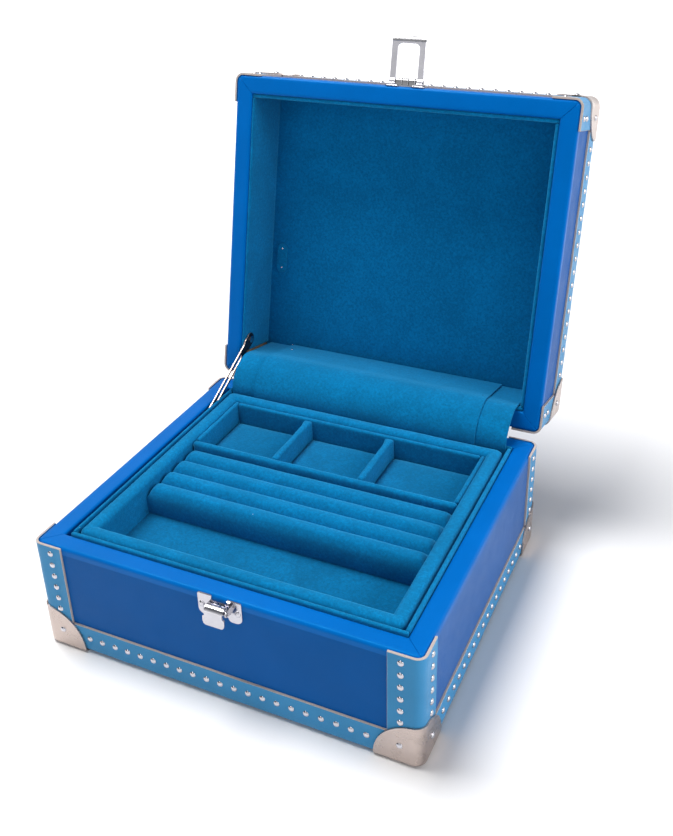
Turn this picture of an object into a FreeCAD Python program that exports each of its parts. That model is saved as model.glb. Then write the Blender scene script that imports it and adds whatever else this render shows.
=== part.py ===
"""Jewelry case with a lift-out tray, built like a small trunk.

Frame: +Z up, origin on the table under the middle of the base, X across the
width, -Y to the front. The lid is drawn closed and then turned open about
its hinge axis, so every lid piece shares one placement. Millimetres.
"""
import FreeCAD, Part
import math
import os

from FreeCAD import Placement, Rotation, Vector

doc = FreeCAD.newDocument("jewelry_case")

# --------------------------------------------------------------------------
# Driving sizes
# --------------------------------------------------------------------------
SIZES = [
    ("case_width", 220.0, "outside of the leather cover, across"),
    ("case_depth", 197.0, "outside of the leather cover, front to back"),
    ("rim_height", 69.0, "top of the base rim above the table"),
    ("lid_depth", 45.0, "lid rim plane to lid cover top"),
    ("parting_gap", 0.8, "between the two rims when closed"),
    ("corner_radius", 4.0, "upright corners of the cover"),
    ("wall_board", 9.6, "plywood walls"),
    ("floor_board", 5.0, "plywood bottom"),
    ("lid_board", 4.5, "plywood lid top"),
    ("cover_leather", 0.8, "cover and rim binding"),
    ("binding_reach", 4.5, "binding folded down outside the rim"),
    ("strip_reach", 17.0, "corner strip along each face"),
    ("strip_leather", 1.3, "corner strip"),
    ("trim_reach", 17.2, "edge trim up each face"),
    ("trim_under", 14.0, "edge trim folded under"),
    ("trim_leather", 1.2, "edge trim"),
    ("metal_sheet", 0.8, "corner caps"),
    ("metal_reach", 24.0, "corner caps along each edge"),
    ("pad_inset", 14.5, "underside pad inside the cover's outline"),
    ("pad_corner", 14.0, "underside pad corners, clear of the caps"),
    ("skin_gap", 0.1, "between stacked skins"),
    ("rivet_head", 1.75, "dome rivet head radius"),
    ("rivet_rise", 1.05, "dome rivet head height"),
    ("rivet_pitch", 8.25, "edge trim rivets"),
    ("strip_rivet_pitch", 7.5, "corner strip rivets"),
    ("liner_panel", 2.4, "liner walls"),
    ("stay_liner_panel", 1.6, "liner walls beside the lid stay"),
    ("stay_side_gap", 3.2, "left rim to left liner, where the stay runs"),
    ("liner_fit", 0.2, "rim to liner on the other sides"),
    ("liner_rise", 1.2, "liner lip above the base rim"),
    ("liner_set_back", 1.1, "lid liner lip inside the lid rim plane"),
    ("floor_pad", 2.0, "suede floor of the base"),
    ("lid_pad", 2.2, "suede panel in the lid top"),
    ("hinge_set_back", 3.6, "hinge axis behind the back cover"),
    ("lid_open_angle", 102.6, "held by the stay"),
    ("hinge_spacing", 120.0, "between hinge centres"),
    ("hinge_leaf_width", 28.0, "hinge leaf"),
    ("hinge_leaf_height", 18.0, "hinge leaf from the rim plane"),
    ("hinge_leaf_sheet", 1.2, "hinge leaf"),
    ("knuckle_radius", 2.9, "hinge knuckle"),
    ("hinge_pin_radius", 1.25, "hinge pin"),
    ("pin_fit", 0.06, "radial play of every pin"),
    ("side_fit", 0.25, "end play of every pivot"),
    ("stay_sheet", 0.9, "lid stay"),
    ("stay_leg_width", 6.0, "slotted part of the stay"),
    ("stay_slot_width", 3.0, "slot"),
    ("stay_head_radius", 4.4, "solid end of the stay"),
    ("stay_slot_start", 15.0, "from the lid pivot"),
    ("stay_slot_past_stud", 4.0, "slot beyond the base stud, lid open"),
    ("stay_pin_distance", 84.0, "lid pivot to base stud, lid open"),
    ("stay_slope", 24.9, "degrees below level, lid open"),
    ("stay_pivot_inside", 10.7, "lid pivot in front of the lid's back wall, lid closed"),
    ("stay_pivot_above", 9.1, "lid pivot above the hinge axis, lid closed"),
    ("tray_play_left", 0.5, "tray to left liner"),
    ("tray_play_right", 1.3, "tray to right liner"),
    ("tray_play_front", 1.0, "tray to front liner"),
    ("gusset_room", 2.7, "tray to back liner, where the gusset hangs"),
    ("tray_rise", 1.0, "tray wall top above the base rim"),
    ("tray_height", 23.5, "tray outside height"),
    ("tray_base", 2.6, "tray floor board"),
    ("tray_wall", 8.6, "padded outer tray wall"),
    ("tray_lining", 3.0, "inner wall round the back compartments"),
    ("lining_drop", 1.5, "inner wall below the outer one"),
    ("partition_front", 18.2, "long partition, front face from the middle"),
    ("partition_wall", 4.5, "long partition"),
    ("divider_wall", 4.2, "short dividers"),
    ("divider_left", -30.0, "left divider centre"),
    ("divider_right", 26.0, "right divider centre"),
    ("roll_pitch", 12.7, "ring rolls"),
    ("roll_radius", 8.2, "ring rolls, wider than the pitch"),
    ("roll_drop", 2.6, "ring roll crest below the base rim"),
    ("compartment_pad", 7.9, "padded floor of the back compartments"),
    ("rest_width", 5.0, "ledges under the tray"),
    ("rest_height", 6.0, "ledges under the tray"),
    ("rest_gap", 0.05, "ledge to tray"),
    ("latch_offset", 4.0, "latch centre right of the middle"),
    ("latch_plate_width", 25.0, "catch and hasp plates"),
    ("latch_plate_height", 13.4, "catch plate"),
    ("hasp_plate_height", 9.0, "hasp plate"),
    ("latch_sheet", 0.8, "catch and hasp plates"),
    ("lever_width", 12.4, "catch lever"),
    ("lever_barrel", 3.2, "catch lever barrel radius"),
    ("lever_sheet", 0.9, "catch lever"),
    ("lever_length", 8.4, "barrel centre to finger end"),
    ("latch_pin_radius", 0.8, "catch and hasp pins"),
    ("ear_sheet", 0.9, "catch ears"),
    ("loop_width", 21.4, "hasp loop outside"),
    ("loop_leg", 3.8, "hasp loop legs"),
    ("loop_length", 25.0, "hasp pin to loop end"),
    ("loop_sheet", 1.0, "hasp loop"),
    ("loop_bar", 4.6, "hasp loop end bar"),
    ("loop_eye", 1.9, "hasp loop eye radius"),
    ("loop_corner", 3.0, "hasp loop end corners"),
    ("cloth", 1.0, "gusset cloth"),
    ("gusset_margin", 3.6, "gusset edge to the lid liner, each side"),
    ("overlay_inset", 15.0, "overlay narrower than the gusset, each side"),
    ("tab_length", 20.0, "pull tab in the lid"),
    ("tab_width", 7.6, "pull tab in the lid"),
    ("tab_sheet", 1.0, "pull tab in the lid"),
    ("tab_x", -89.5, "pull tab centre across"),
    ("tab_y", 23.0, "pull tab centre, lid closed"),
]

sheet = doc.addObject("Spreadsheet::Sheet", "size")
for row, (alias, value, note) in enumerate(SIZES, 1):
    sheet.set("A%d" % row, alias)
    sheet.set("B%d" % row, str(value))
    sheet.set("C%d" % row, note)
    sheet.setAlias("B%d" % row, alias)

# --------------------------------------------------------------------------
# Places worked out from the sizes
# --------------------------------------------------------------------------
PLACES = [
    ("half_w", "=size.case_width / 2"),
    ("half_d", "=size.case_depth / 2"),
    ("rim_wide", "=size.wall_board + 2 * size.cover_leather"),
    ("in_x", "=half_w - rim_wide"),
    ("in_y", "=half_d - rim_wide"),
    ("under", "=size.metal_sheet + size.trim_leather + size.skin_gap"),
    ("rim", "=size.rim_height"),
    ("board_low", "=under + size.cover_leather"),
    ("inside_low", "=board_low + size.floor_board"),
    ("board_top", "=rim - size.cover_leather"),
    ("lid_rim", "=rim + size.parting_gap"),
    ("lid_top", "=lid_rim + size.lid_depth"),
    ("lid_board_low", "=lid_rim + size.cover_leather"),
    ("lid_board_top", "=lid_top - size.cover_leather"),
    ("lid_inside_top", "=lid_board_top - size.lid_board"),
    ("lid_ceiling", "=lid_inside_top - size.lid_pad"),
    ("hinge_y", "=half_d + size.hinge_set_back"),
    ("hinge_z", "=rim + size.parting_gap / 2"),
    ("liner_out_x", "=in_x - size.liner_fit"),
    ("liner_in_x", "=liner_out_x - size.liner_panel"),
    ("liner_out_y", "=in_y - size.liner_fit"),
    ("liner_in_y", "=liner_out_y - size.liner_panel"),
    ("stay_liner_out", "=in_x - size.stay_side_gap"),
    ("stay_liner_in", "=stay_liner_out - size.stay_liner_panel"),
    ("liner_top", "=rim + size.liner_rise"),
    ("liner_low", "=inside_low + size.floor_pad"),
    ("lid_liner_low", "=lid_rim + size.liner_set_back"),
    ("lid_stay_face", "=in_x - size.stay_liner_panel"),
    ("stay_x", "=(lid_stay_face + stay_liner_out) / 2"),
    ("stay_pivot_y", "=in_y - size.stay_pivot_inside"),
    ("stay_pivot_z", "=hinge_z + size.stay_pivot_above"),
    ("stay_slot_end", "=size.stay_pin_distance + size.stay_slot_past_stud"),
    ("tray_left", "=-stay_liner_in + size.tray_play_left"),
    ("tray_right", "=liner_in_x - size.tray_play_right"),
    ("tray_front", "=-liner_in_y + size.tray_play_front"),
    ("tray_back", "=liner_in_y - size.gusset_room"),
    ("tray_top", "=rim + size.tray_rise"),
    ("tray_low", "=tray_top - size.tray_height"),
    ("tray_floor", "=tray_low + size.tray_base"),
    ("lining_top", "=tray_top - size.lining_drop"),
    ("hold_left", "=tray_left + size.tray_wall"),
    ("hold_right", "=tray_right - size.tray_wall"),
    ("hold_front", "=tray_front + size.tray_wall"),
    ("hold_back", "=tray_back - size.tray_wall"),
    ("well_left", "=hold_left + size.tray_lining"),
    ("well_right", "=hold_right - size.tray_lining"),
    ("well_back", "=hold_back - size.tray_lining"),
    ("partition_back", "=size.partition_front + size.partition_wall"),
    ("roll_crest", "=rim - size.roll_drop"),
    ("roll_axis", "=roll_crest - size.roll_radius"),
    ("rolls_front", "=size.partition_front - 4 * size.roll_pitch"),
    ("rest_top", "=tray_low - size.rest_gap"),
    ("face_y", "=-half_d"),
    ("plate_y", "=face_y - size.latch_sheet"),
    ("catch_y", "=face_y - size.lever_barrel - size.latch_sheet - 0.25"),
    ("catch_z", "=rim - 5.6"),
    ("catch_plate_low", "=rim - size.latch_plate_height"),
    ("hasp_y", "=plate_y - size.loop_eye - 0.3"),
    ("hasp_z", "=lid_rim + 3.4"),
    ("gusset_x", "=lid_stay_face - size.gusset_margin"),
]

layout = doc.addObject("Spreadsheet::Sheet", "place")
for row, (alias, formula) in enumerate(PLACES, 1):
    layout.set("A%d" % row, alias)
    layout.set("B%d" % row, formula)
    layout.setAlias("B%d" % row, alias)
doc.recompute()


def size(alias):
    """A driving size as a number."""
    return float(sheet.get(alias))


def place(alias):
    """A worked-out place as a number."""
    return float(layout.get(alias))


# --------------------------------------------------------------------------
# Building blocks, bound to the sheets
# --------------------------------------------------------------------------
X_AXIS = Vector(1, 0, 0)
Y_AXIS = Vector(0, 1, 0)
Z_AXIS = Vector(0, 0, 1)
ALONG = {"x": Rotation(Y_AXIS, 90), "y": Rotation(X_AXIS, -90), "z": Rotation()}


def block(name, x, y, z):
    """A box between two bounds on each axis, all expressions."""
    item = doc.addObject("Part::Box", name)
    for side, (low, high) in zip(("Length", "Width", "Height"), (x, y, z)):
        item.setExpression(side, "(%s) - (%s)" % (high, low))
    for axis, (low, high) in zip("xyz", (x, y, z)):
        item.setExpression("Placement.Base.%s" % axis, low)
    return item


def rod(name, axis, radius, start, length):
    """A cylinder along an axis from a start point, all expressions."""
    item = doc.addObject("Part::Cylinder", name)
    item.Placement = Placement(Vector(), ALONG[axis])
    item.setExpression("Radius", radius)
    item.setExpression("Height", length)
    for letter, text in zip("xyz", start):
        item.setExpression("Placement.Base.%s" % letter, text)
    return item


def fuse(name, shapes):
    item = doc.addObject("Part::MultiFuse", name)
    item.Shapes = shapes
    return item


def cut(name, base, tool):
    item = doc.addObject("Part::Cut", name)
    item.Base = base
    item.Tool = tool
    return item


def common(name, first, second):
    item = doc.addObject("Part::Common", name)
    item.Base = first
    item.Tool = second
    return item


def group(name, solids):
    item = doc.addObject("Part::Compound", name)
    item.Links = solids
    return item


def fillet(name, base, radius, wanted):
    """Round the edges for which wanted(edge) is true."""
    doc.recompute()
    item = doc.addObject("Part::Fillet", name)
    item.Base = base
    numbers = [i for i, edge in enumerate(base.Shape.Edges, 1) if wanted(edge)]
    item.Edges = [(number, radius, radius) for number in numbers]
    return item


def runs_along(edge, axis):
    """True for a straight edge parallel to an axis."""
    if not isinstance(edge.Curve, Part.Line):
        return False
    return abs(edge.Curve.Direction.dot(axis)) > 0.999


def upright(edge):
    return runs_along(edge, Z_AXIS)


def top_edges(height):
    """A test for edges that lie level at a height."""
    def wanted(edge):
        box = edge.BoundBox
        return abs(box.ZMin - height) < 0.01 and abs(box.ZMax - height) < 0.01
    return wanted


def rounded_block(name, x, y, z, radius):
    """A box with rounded upright corners."""
    return fillet(name, block(name + "_block", x, y, z), radius, upright)


def frame_part(name, shape):
    """A piece whose shape is made of curved surfaces or many copies."""
    item = doc.addObject("Part::Feature", name)
    item.Shape = shape
    return item


NODES = []


def keep(name, item, placement=None):
    """Name a finished piece and, on the lid, turn it open."""
    item.Label = name
    if placement is not None:
        item.Placement = placement.multiply(item.Placement)
    NODES.append(item)
    return item


HINGE_CENTRE = Vector(0, place("hinge_y"), place("hinge_z"))
LID_OPEN = Placement(Vector(), Rotation(X_AXIS, -size("lid_open_angle")), HINGE_CENTRE)


def on_lid(name, item):
    return keep(name, item, Placement(LID_OPEN))


# --------------------------------------------------------------------------
# Carcass, cover and rim binding: one set of rules for the base and the lid
# --------------------------------------------------------------------------
def span(half):
    return ("-(%s)" % half, half)


def shell_outline(name, inset, z, radius):
    """A rounded block as wide as the case, less an inset."""
    x = span("place.half_w - (%s)" % inset)
    y = span("place.half_d - (%s)" % inset)
    return rounded_block(name, x, y, z, radius)


def carcass(name, z, hollow_z):
    """Plywood box with one side open."""
    radius = size("corner_radius") - size("cover_leather")
    outer = shell_outline(name + "_outer", "size.cover_leather", z, radius)
    inset = " - size.cover_leather - size.wall_board"
    hollow = block(name + "_hollow", span("place.half_w" + inset),
                   span("place.half_d" + inset), hollow_z)
    return cut(name + "_cut", outer, hollow)


def cover(name, z, inner_z):
    """Leather skin round four sides and across the closed side."""
    outer = shell_outline(name + "_outer", "0", z, size("corner_radius"))
    radius = size("corner_radius") - size("cover_leather")
    inner = shell_outline(name + "_inner", "size.cover_leather", inner_z, radius)
    return cut(name + "_cut", outer, inner)


def binding(name, z, groove_z, crest):
    """Leather folded over the rim, with rounded long edges."""
    outer = shell_outline(name + "_outer", "0", z, size("corner_radius"))
    soft = fillet(name + "_soft", outer, 2 * size("cover_leather"), top_edges(crest))
    hole = block(name + "_hole", span("place.in_x"), span("place.in_y"),
                 ("%s - 1" % z[0], "%s + 1" % z[1]))
    ring = cut(name + "_ring", soft, hole)
    radius = size("corner_radius") - size("cover_leather")
    wall_out = shell_outline(name + "_wall_out", "size.cover_leather", groove_z, radius)
    wall_in = block(name + "_wall_in", span("place.in_x + size.cover_leather"),
                    span("place.in_y + size.cover_leather"), groove_z)
    wall = cut(name + "_wall", wall_out, wall_in)
    return cut(name + "_cut", ring, wall)


def build_shells():
    base = carcass("base_carcass", ("place.board_low", "place.board_top"),
                   ("place.inside_low", "place.rim"))
    keep("base_carcass", base)
    skin_top = "place.rim - size.binding_reach"
    keep("base_cover", cover("base_cover", ("place.under", skin_top),
                             ("place.board_low", "place.rim")))
    fold = ("place.rim - size.binding_reach", "place.rim")
    wall = ("place.rim - size.binding_reach - 1", "place.board_top")
    keep("base_rim_binding", binding("base_rim", fold, wall, place("rim")))

    lid = carcass("lid_carcass", ("place.lid_board_low", "place.lid_board_top"),
                  ("place.lid_rim", "place.lid_inside_top"))
    on_lid("lid_carcass", lid)
    skin_low = "place.lid_rim + size.binding_reach"
    on_lid("lid_cover", cover("lid_cover", (skin_low, "place.lid_top"),
                              ("place.lid_rim", "place.lid_board_top")))
    fold = ("place.lid_rim", "place.lid_rim + size.binding_reach")
    wall = ("place.lid_board_low", "place.lid_rim + size.binding_reach + 1")
    on_lid("lid_rim_binding", binding("lid_rim", fold, wall, place("lid_rim")))


# --------------------------------------------------------------------------
# Corner strips, edge trims and corner caps
# --------------------------------------------------------------------------
CORNERS = {"front_left": (-1, -1), "front_right": (1, -1),
           "back_left": (-1, 1), "back_right": (1, 1)}


def outline(grow, low, high, edge_radius=0.0):
    """Rounded case block, grown outward, as a plain shape."""
    half_x = place("half_w") + grow
    half_y = place("half_d") + grow
    box = Part.makeBox(2 * half_x, 2 * half_y, high - low, Vector(-half_x, -half_y, low))
    rounded = box.makeFillet(size("corner_radius") + grow, [e for e in box.Edges if upright(e)])
    if edge_radius:
        rim = [e for e in rounded.Edges if top_edges(low)(e)]
        rounded = rounded.makeFillet(edge_radius, rim)
    return rounded


def mirror_up(shape):
    """Turn a base piece into the matching lid piece, on the closed lid."""
    middle = (place("lid_top") + place("under")) / 2
    return shape.mirror(Vector(0, 0, middle), Z_AXIS)


def corner_strip(sign_x, sign_y, low, high):
    """Leather wrapped round one upright corner."""
    ring = outline(size("strip_leather"), low, high).cut(outline(0.0, low - 1, high + 1))
    reach = size("strip_reach")
    width = reach + 2 * size("strip_leather")
    edge_x = place("half_w") - reach
    edge_y = place("half_d") - reach
    corner = Part.makeBox(width, width, high - low, Vector(edge_x, edge_y, low))
    piece = ring.common(corner)
    if sign_x < 0:
        piece = piece.mirror(Vector(), X_AXIS)
    if sign_y < 0:
        piece = piece.mirror(Vector(), Y_AXIS)
    return piece


def corner_cap(sign_x, sign_y):
    """Sheet metal cap over one lower corner, three lobes on a sphere."""
    gap = size("strip_leather") + size("skin_gap")
    metal = size("metal_sheet")
    tall = 2 * size("metal_reach")
    outer = outline(gap + metal, 0.0, tall, 2.4)
    inner = outline(gap, metal, tall + 1, 1.6)
    centre = Vector(place("half_w"), place("half_d"), place("under"))
    ball = Part.makeSphere(size("metal_reach"), centre)
    piece = outer.cut(inner).common(ball)
    if sign_x < 0:
        piece = piece.mirror(Vector(), X_AXIS)
    if sign_y < 0:
        piece = piece.mirror(Vector(), Y_AXIS)
    return piece


def edge_trim(side):
    """Leather folded round one lower edge, with rounded upper corners."""
    skin = size("trim_leather")
    low = place("under") - skin
    high = low + size("trim_reach")
    along_x = side in ("front", "back")
    half = place("half_w") if along_x else place("half_d")
    face = place("half_d") if along_x else place("half_w")
    reach = half - size("strip_reach") - 2 * size("skin_gap")
    leg = Part.makeBox(2 * reach, skin, high - low, Vector(-reach, face, low))
    top = [e for e in leg.Edges if runs_along(e, Y_AXIS) and e.BoundBox.ZMin > high - 0.1]
    leg = leg.makeFillet(3.0, top)
    under = Part.makeBox(2 * reach, size("trim_under") + skin, skin,
                         Vector(-reach, face - size("trim_under"), low))
    piece = leg.fuse(under).removeSplitter()
    outer = [e for e in piece.Edges if runs_along(e, X_AXIS)
             and e.BoundBox.ZMax < low + 0.01 and e.BoundBox.YMin > face + skin - 0.01]
    piece = piece.makeFillet(1.0, outer)
    turns = {"back": 0, "left": 90, "front": 180, "right": -90}
    piece.rotate(Vector(), Z_AXIS, turns[side])
    return piece


def build_trims():
    low = place("under")
    high = place("rim") - 1.0
    lid_low = place("lid_rim") + 1.0
    for where, (sign_x, sign_y) in CORNERS.items():
        strip = corner_strip(sign_x, sign_y, low, high)
        keep("base_corner_strip_" + where, frame_part("base_strip_" + where, strip))
        strip = corner_strip(sign_x, sign_y, lid_low, place("lid_top"))
        on_lid("lid_corner_strip_" + where, frame_part("lid_strip_" + where, strip))
        cap = corner_cap(sign_x, sign_y)
        keep("base_corner_cap_" + where, frame_part("base_cap_" + where, cap))
        on_lid("lid_corner_cap_" + where, frame_part("lid_cap_" + where, mirror_up(cap)))
    for side in ("front", "back", "left", "right"):
        trim = edge_trim(side)
        keep("base_edge_trim_" + side, frame_part("base_trim_" + side, trim))
        on_lid("lid_edge_trim_" + side, frame_part("lid_trim_" + side, mirror_up(trim)))


# --------------------------------------------------------------------------
# Dome rivets
# --------------------------------------------------------------------------
def dome(point, outward):
    """One rivet head, seated at a point on a face."""
    radius = size("rivet_head")
    rise = size("rivet_rise")
    ball = (radius * radius + rise * rise) / (2 * rise)
    cap = Part.makeSphere(ball, point + outward * (rise - ball))
    keeper = Part.makeCylinder(radius + 1, rise + 1, point, outward)
    return cap.common(keeper)


def run_of(length, pitch):
    """Evenly pitched places along a length, centred on zero."""
    count = int(length / pitch)
    return [(i - count / 2) * pitch for i in range(count + 1)]


def face_point(side, along, grow, height):
    """A point on one upright face and that face's outward direction."""
    if side == "front":
        return Vector(along, -place("half_d") - grow, height), Vector(0, -1, 0)
    if side == "back":
        return Vector(along, place("half_d") + grow, height), Vector(0, 1, 0)
    if side == "left":
        return Vector(-place("half_w") - grow, along, height), Vector(-1, 0, 0)
    return Vector(place("half_w") + grow, along, height), Vector(1, 0, 0)


def trim_rivets(height):
    rivets = []
    for side in ("front", "back", "left", "right"):
        half = place("half_w") if side in ("front", "back") else place("half_d")
        reach = half - size("metal_reach") - size("rivet_head") - 1
        for along in run_of(2 * reach, size("rivet_pitch")):
            point, outward = face_point(side, along, size("trim_leather"), height)
            rivets.append(dome(point, outward))
    return rivets


def strip_rivets(heights):
    rivets = []
    inset = size("strip_reach") * 0.6
    for side in ("front", "back", "left", "right"):
        half = place("half_w") if side in ("front", "back") else place("half_d")
        for along in (inset - half, half - inset):
            for height in heights:
                point, outward = face_point(side, along, size("strip_leather"), height)
                rivets.append(dome(point, outward))
    return rivets


def cap_rivets(height):
    rivets = []
    grow = size("strip_leather") + size("skin_gap") + size("metal_sheet")
    inset = size("metal_reach") * 0.42
    for side in ("front", "back", "left", "right"):
        half = place("half_w") if side in ("front", "back") else place("half_d")
        for along in (inset - half, half - inset):
            point, outward = face_point(side, along, grow, height)
            rivets.append(dome(point, outward))
    return rivets


def top_cap_rivets():
    """The third lobe of each lid cap, on the lid top."""
    rivets = []
    inset = size("metal_reach") * 0.42
    height = place("lid_top") + place("under")
    for sign_x, sign_y in CORNERS.values():
        x = sign_x * (place("half_w") - inset)
        y = sign_y * (place("half_d") - inset)
        rivets.append(dome(Vector(x, y, height), Vector(0, 0, 1)))
    return rivets


def hinge_rivets(height):
    rivets = []
    grow = size("hinge_leaf_sheet")
    for centre in (-size("hinge_spacing") / 2, size("hinge_spacing") / 2):
        for offset in (-9.0, 0.0, 9.0):
            point, outward = face_point("back", centre + offset, grow, height)
            rivets.append(dome(point, outward))
    return rivets


def plate_rivets(height, spread):
    rivets = []
    for offset in (-spread, spread):
        point, outward = face_point("front", size("latch_offset") + offset,
                                    size("latch_sheet"), height)
        rivets.append(dome(point, outward))
    return rivets


def build_rivets():
    trim_mid = place("under") + size("trim_reach") * 0.5
    cap_mid = place("under") + size("metal_reach") * 0.42
    top = place("rim") - 5.0
    heights = [top - i * size("strip_rivet_pitch") for i in range(6)]
    leaf = size("hinge_leaf_height")
    rivets = trim_rivets(trim_mid) + strip_rivets(heights) + cap_rivets(cap_mid)
    rivets += hinge_rivets(place("rim") - leaf * 0.66)
    rivets += plate_rivets(place("catch_plate_low") + 6.6, 10.2)
    keep("base_rivets", frame_part("base_rivet_set", Part.makeCompound(rivets)))

    turned = place("lid_top") + place("under")
    lid_heights = [place("lid_rim") + 5.0 + i * size("strip_rivet_pitch") for i in range(2)]
    rivets = trim_rivets(turned - trim_mid) + strip_rivets(lid_heights)
    rivets += cap_rivets(turned - cap_mid) + top_cap_rivets()
    rivets += hinge_rivets(place("lid_rim") + leaf * 0.66)
    rivets += plate_rivets(place("hasp_z") + 3.4, 10.2)
    on_lid("lid_rivets", frame_part("lid_rivet_set", Part.makeCompound(rivets)))


# --------------------------------------------------------------------------
# Liners
# --------------------------------------------------------------------------
def build_underside():
    """Flat pad pasted over the turned-in cover, which the case stands on."""
    x = span("place.half_w - size.pad_inset")
    y = span("place.half_d - size.pad_inset")
    pad = rounded_block("underside", x, y, ("0", "place.under"), size("pad_corner"))
    keep("base_underside_pad", pad)


def build_liners():
    tall = ("place.liner_low", "place.liner_top")
    across = ("-place.stay_liner_out", "place.liner_out_x")
    between = ("-place.liner_in_y", "place.liner_in_y")
    walls = [
        block("base_liner_front", across, ("-place.liner_out_y", "-place.liner_in_y"), tall),
        block("base_liner_back", across, ("place.liner_in_y", "place.liner_out_y"), tall),
        block("base_liner_left", ("-place.stay_liner_out", "-place.stay_liner_in"), between, tall),
        block("base_liner_right", ("place.liner_in_x", "place.liner_out_x"), between, tall),
    ]
    keep("base_liner", group("base_liner_walls", walls))
    keep("base_floor_pad", block("base_floor", across, ("-place.liner_out_y", "place.liner_out_y"),
                                 ("place.inside_low", "place.liner_low")))
    rest_z = ("place.rest_top - size.rest_height", "place.rest_top")
    rest_y = ("place.tray_front", "place.tray_back")
    left = ("-place.stay_liner_in", "-place.stay_liner_in + size.rest_width + size.tray_play_left")
    right = ("place.liner_in_x - size.rest_width - size.tray_play_right", "place.liner_in_x")
    rests = [block("rest_left", left, rest_y, rest_z), block("rest_right", right, rest_y, rest_z)]
    keep("tray_rests", group("tray_rest_pair", rests))

    tall = ("place.lid_liner_low", "place.lid_ceiling")
    across = ("-place.in_x", "place.in_x")
    face = "place.in_y - size.liner_panel"
    between = ("-(%s)" % face, face)
    walls = [
        block("lid_liner_front", across, ("-place.in_y", "-(%s)" % face), tall),
        block("lid_liner_back", ("-place.stay_liner_out", "place.in_x"), (face, "place.in_y"), tall),
        block("lid_liner_left", ("-place.in_x", "-place.lid_stay_face"), between, tall),
        block("lid_liner_right", ("place.in_x - size.liner_panel", "place.in_x"), between, tall),
    ]
    on_lid("lid_liner", group("lid_liner_walls", walls))
    panel = block("lid_top_board", across, span("place.in_y"),
                  ("place.lid_ceiling", "place.lid_inside_top"))
    on_lid("lid_panel", group("lid_top_panel", [panel]))


# --------------------------------------------------------------------------
# Tray
# --------------------------------------------------------------------------
def build_tray():
    x = ("place.tray_left", "place.tray_right")
    y = ("place.tray_front", "place.tray_back")
    body = block("tray_outer", x, y, ("place.tray_floor", "place.tray_top"))
    soft = fillet("tray_outer_soft", body, 2.4, top_edges(place("tray_top")))
    hold_x = ("place.hold_left", "place.hold_right")
    hole = block("tray_hole", hold_x, ("place.hold_front", "place.hold_back"),
                 ("place.tray_floor - 1", "place.tray_top + 1"))
    keep("tray_frame", cut("tray_frame_cut", soft, hole))
    keep("tray_floor", block("tray_floor_board", x, y, ("place.tray_low", "place.tray_floor")))

    tall = ("place.tray_floor", "place.lining_top")
    lining = block("tray_lining_block", hold_x, ("place.partition_back", "place.hold_back"), tall)
    hole = block("tray_well", ("place.well_left", "place.well_right"),
                 ("place.partition_back - 1", "place.well_back"),
                 ("place.tray_floor - 1", "place.lining_top + 1"))
    keep("tray_lining", cut("tray_lining_cut", lining, hole))

    dividers = [block("long_partition", hold_x, ("size.partition_front", "place.partition_back"), tall)]
    pads_top = "place.tray_floor + size.compartment_pad"
    for side in ("left", "right"):
        centre = "size.divider_%s" % side
        wall = ("%s - size.divider_wall / 2" % centre, "%s + size.divider_wall / 2" % centre)
        dividers.append(block("divider_" + side, wall, ("place.partition_back", "place.well_back"),
                              tall))
    keep("tray_partitions", group("tray_partition_set", dividers))

    edges = ["place.well_left", "size.divider_left - size.divider_wall / 2",
             "size.divider_left + size.divider_wall / 2",
             "size.divider_right - size.divider_wall / 2",
             "size.divider_right + size.divider_wall / 2", "place.well_right"]
    pads = []
    for i in range(3):
        pads.append(block("compartment_pad_%d" % (i + 1), (edges[2 * i], edges[2 * i + 1]),
                          ("place.partition_back", "place.well_back"),
                          ("place.tray_floor", pads_top)))
    keep("tray_compartment_pads", group("compartment_pad_set", pads))

    length = "place.hold_right - place.hold_left"
    core = block("roll_core", hold_x, ("place.rolls_front", "size.partition_front"),
                 ("place.tray_floor", "place.roll_axis"))
    rolls = [core]
    for i in range(4):
        middle = "size.partition_front - (%d + 0.5) * size.roll_pitch" % i
        bar = rod("roll_%d" % (i + 1), "x", "size.roll_radius",
                  ("place.hold_left", middle, "place.roll_axis"), length)
        keeper = block("roll_keeper_%d" % (i + 1), hold_x,
                       ("%s - size.roll_pitch / 2" % middle, "%s + size.roll_pitch / 2" % middle),
                       ("place.roll_axis - 1", "place.roll_crest + 1"))
        rolls.append(common("roll_cut_%d" % (i + 1), bar, keeper))
    keep("ring_rolls", fuse("ring_roll_pad", rolls))


# --------------------------------------------------------------------------
# Hinges
# --------------------------------------------------------------------------
BASE_BANDS = (0, 2, 4)
LID_BANDS = (1, 3)
HINGE_CENTRES = ("-size.hinge_spacing / 2", "size.hinge_spacing / 2")


def band(centre, number, margin):
    """Start and length of one fifth of the hinge, shrunk by a margin."""
    start = "%s + (%d / 5 - 0.5) * size.hinge_leaf_width + (%s)" % (centre, number, margin)
    return start, "size.hinge_leaf_width / 5 - 2 * (%s)" % margin


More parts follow.
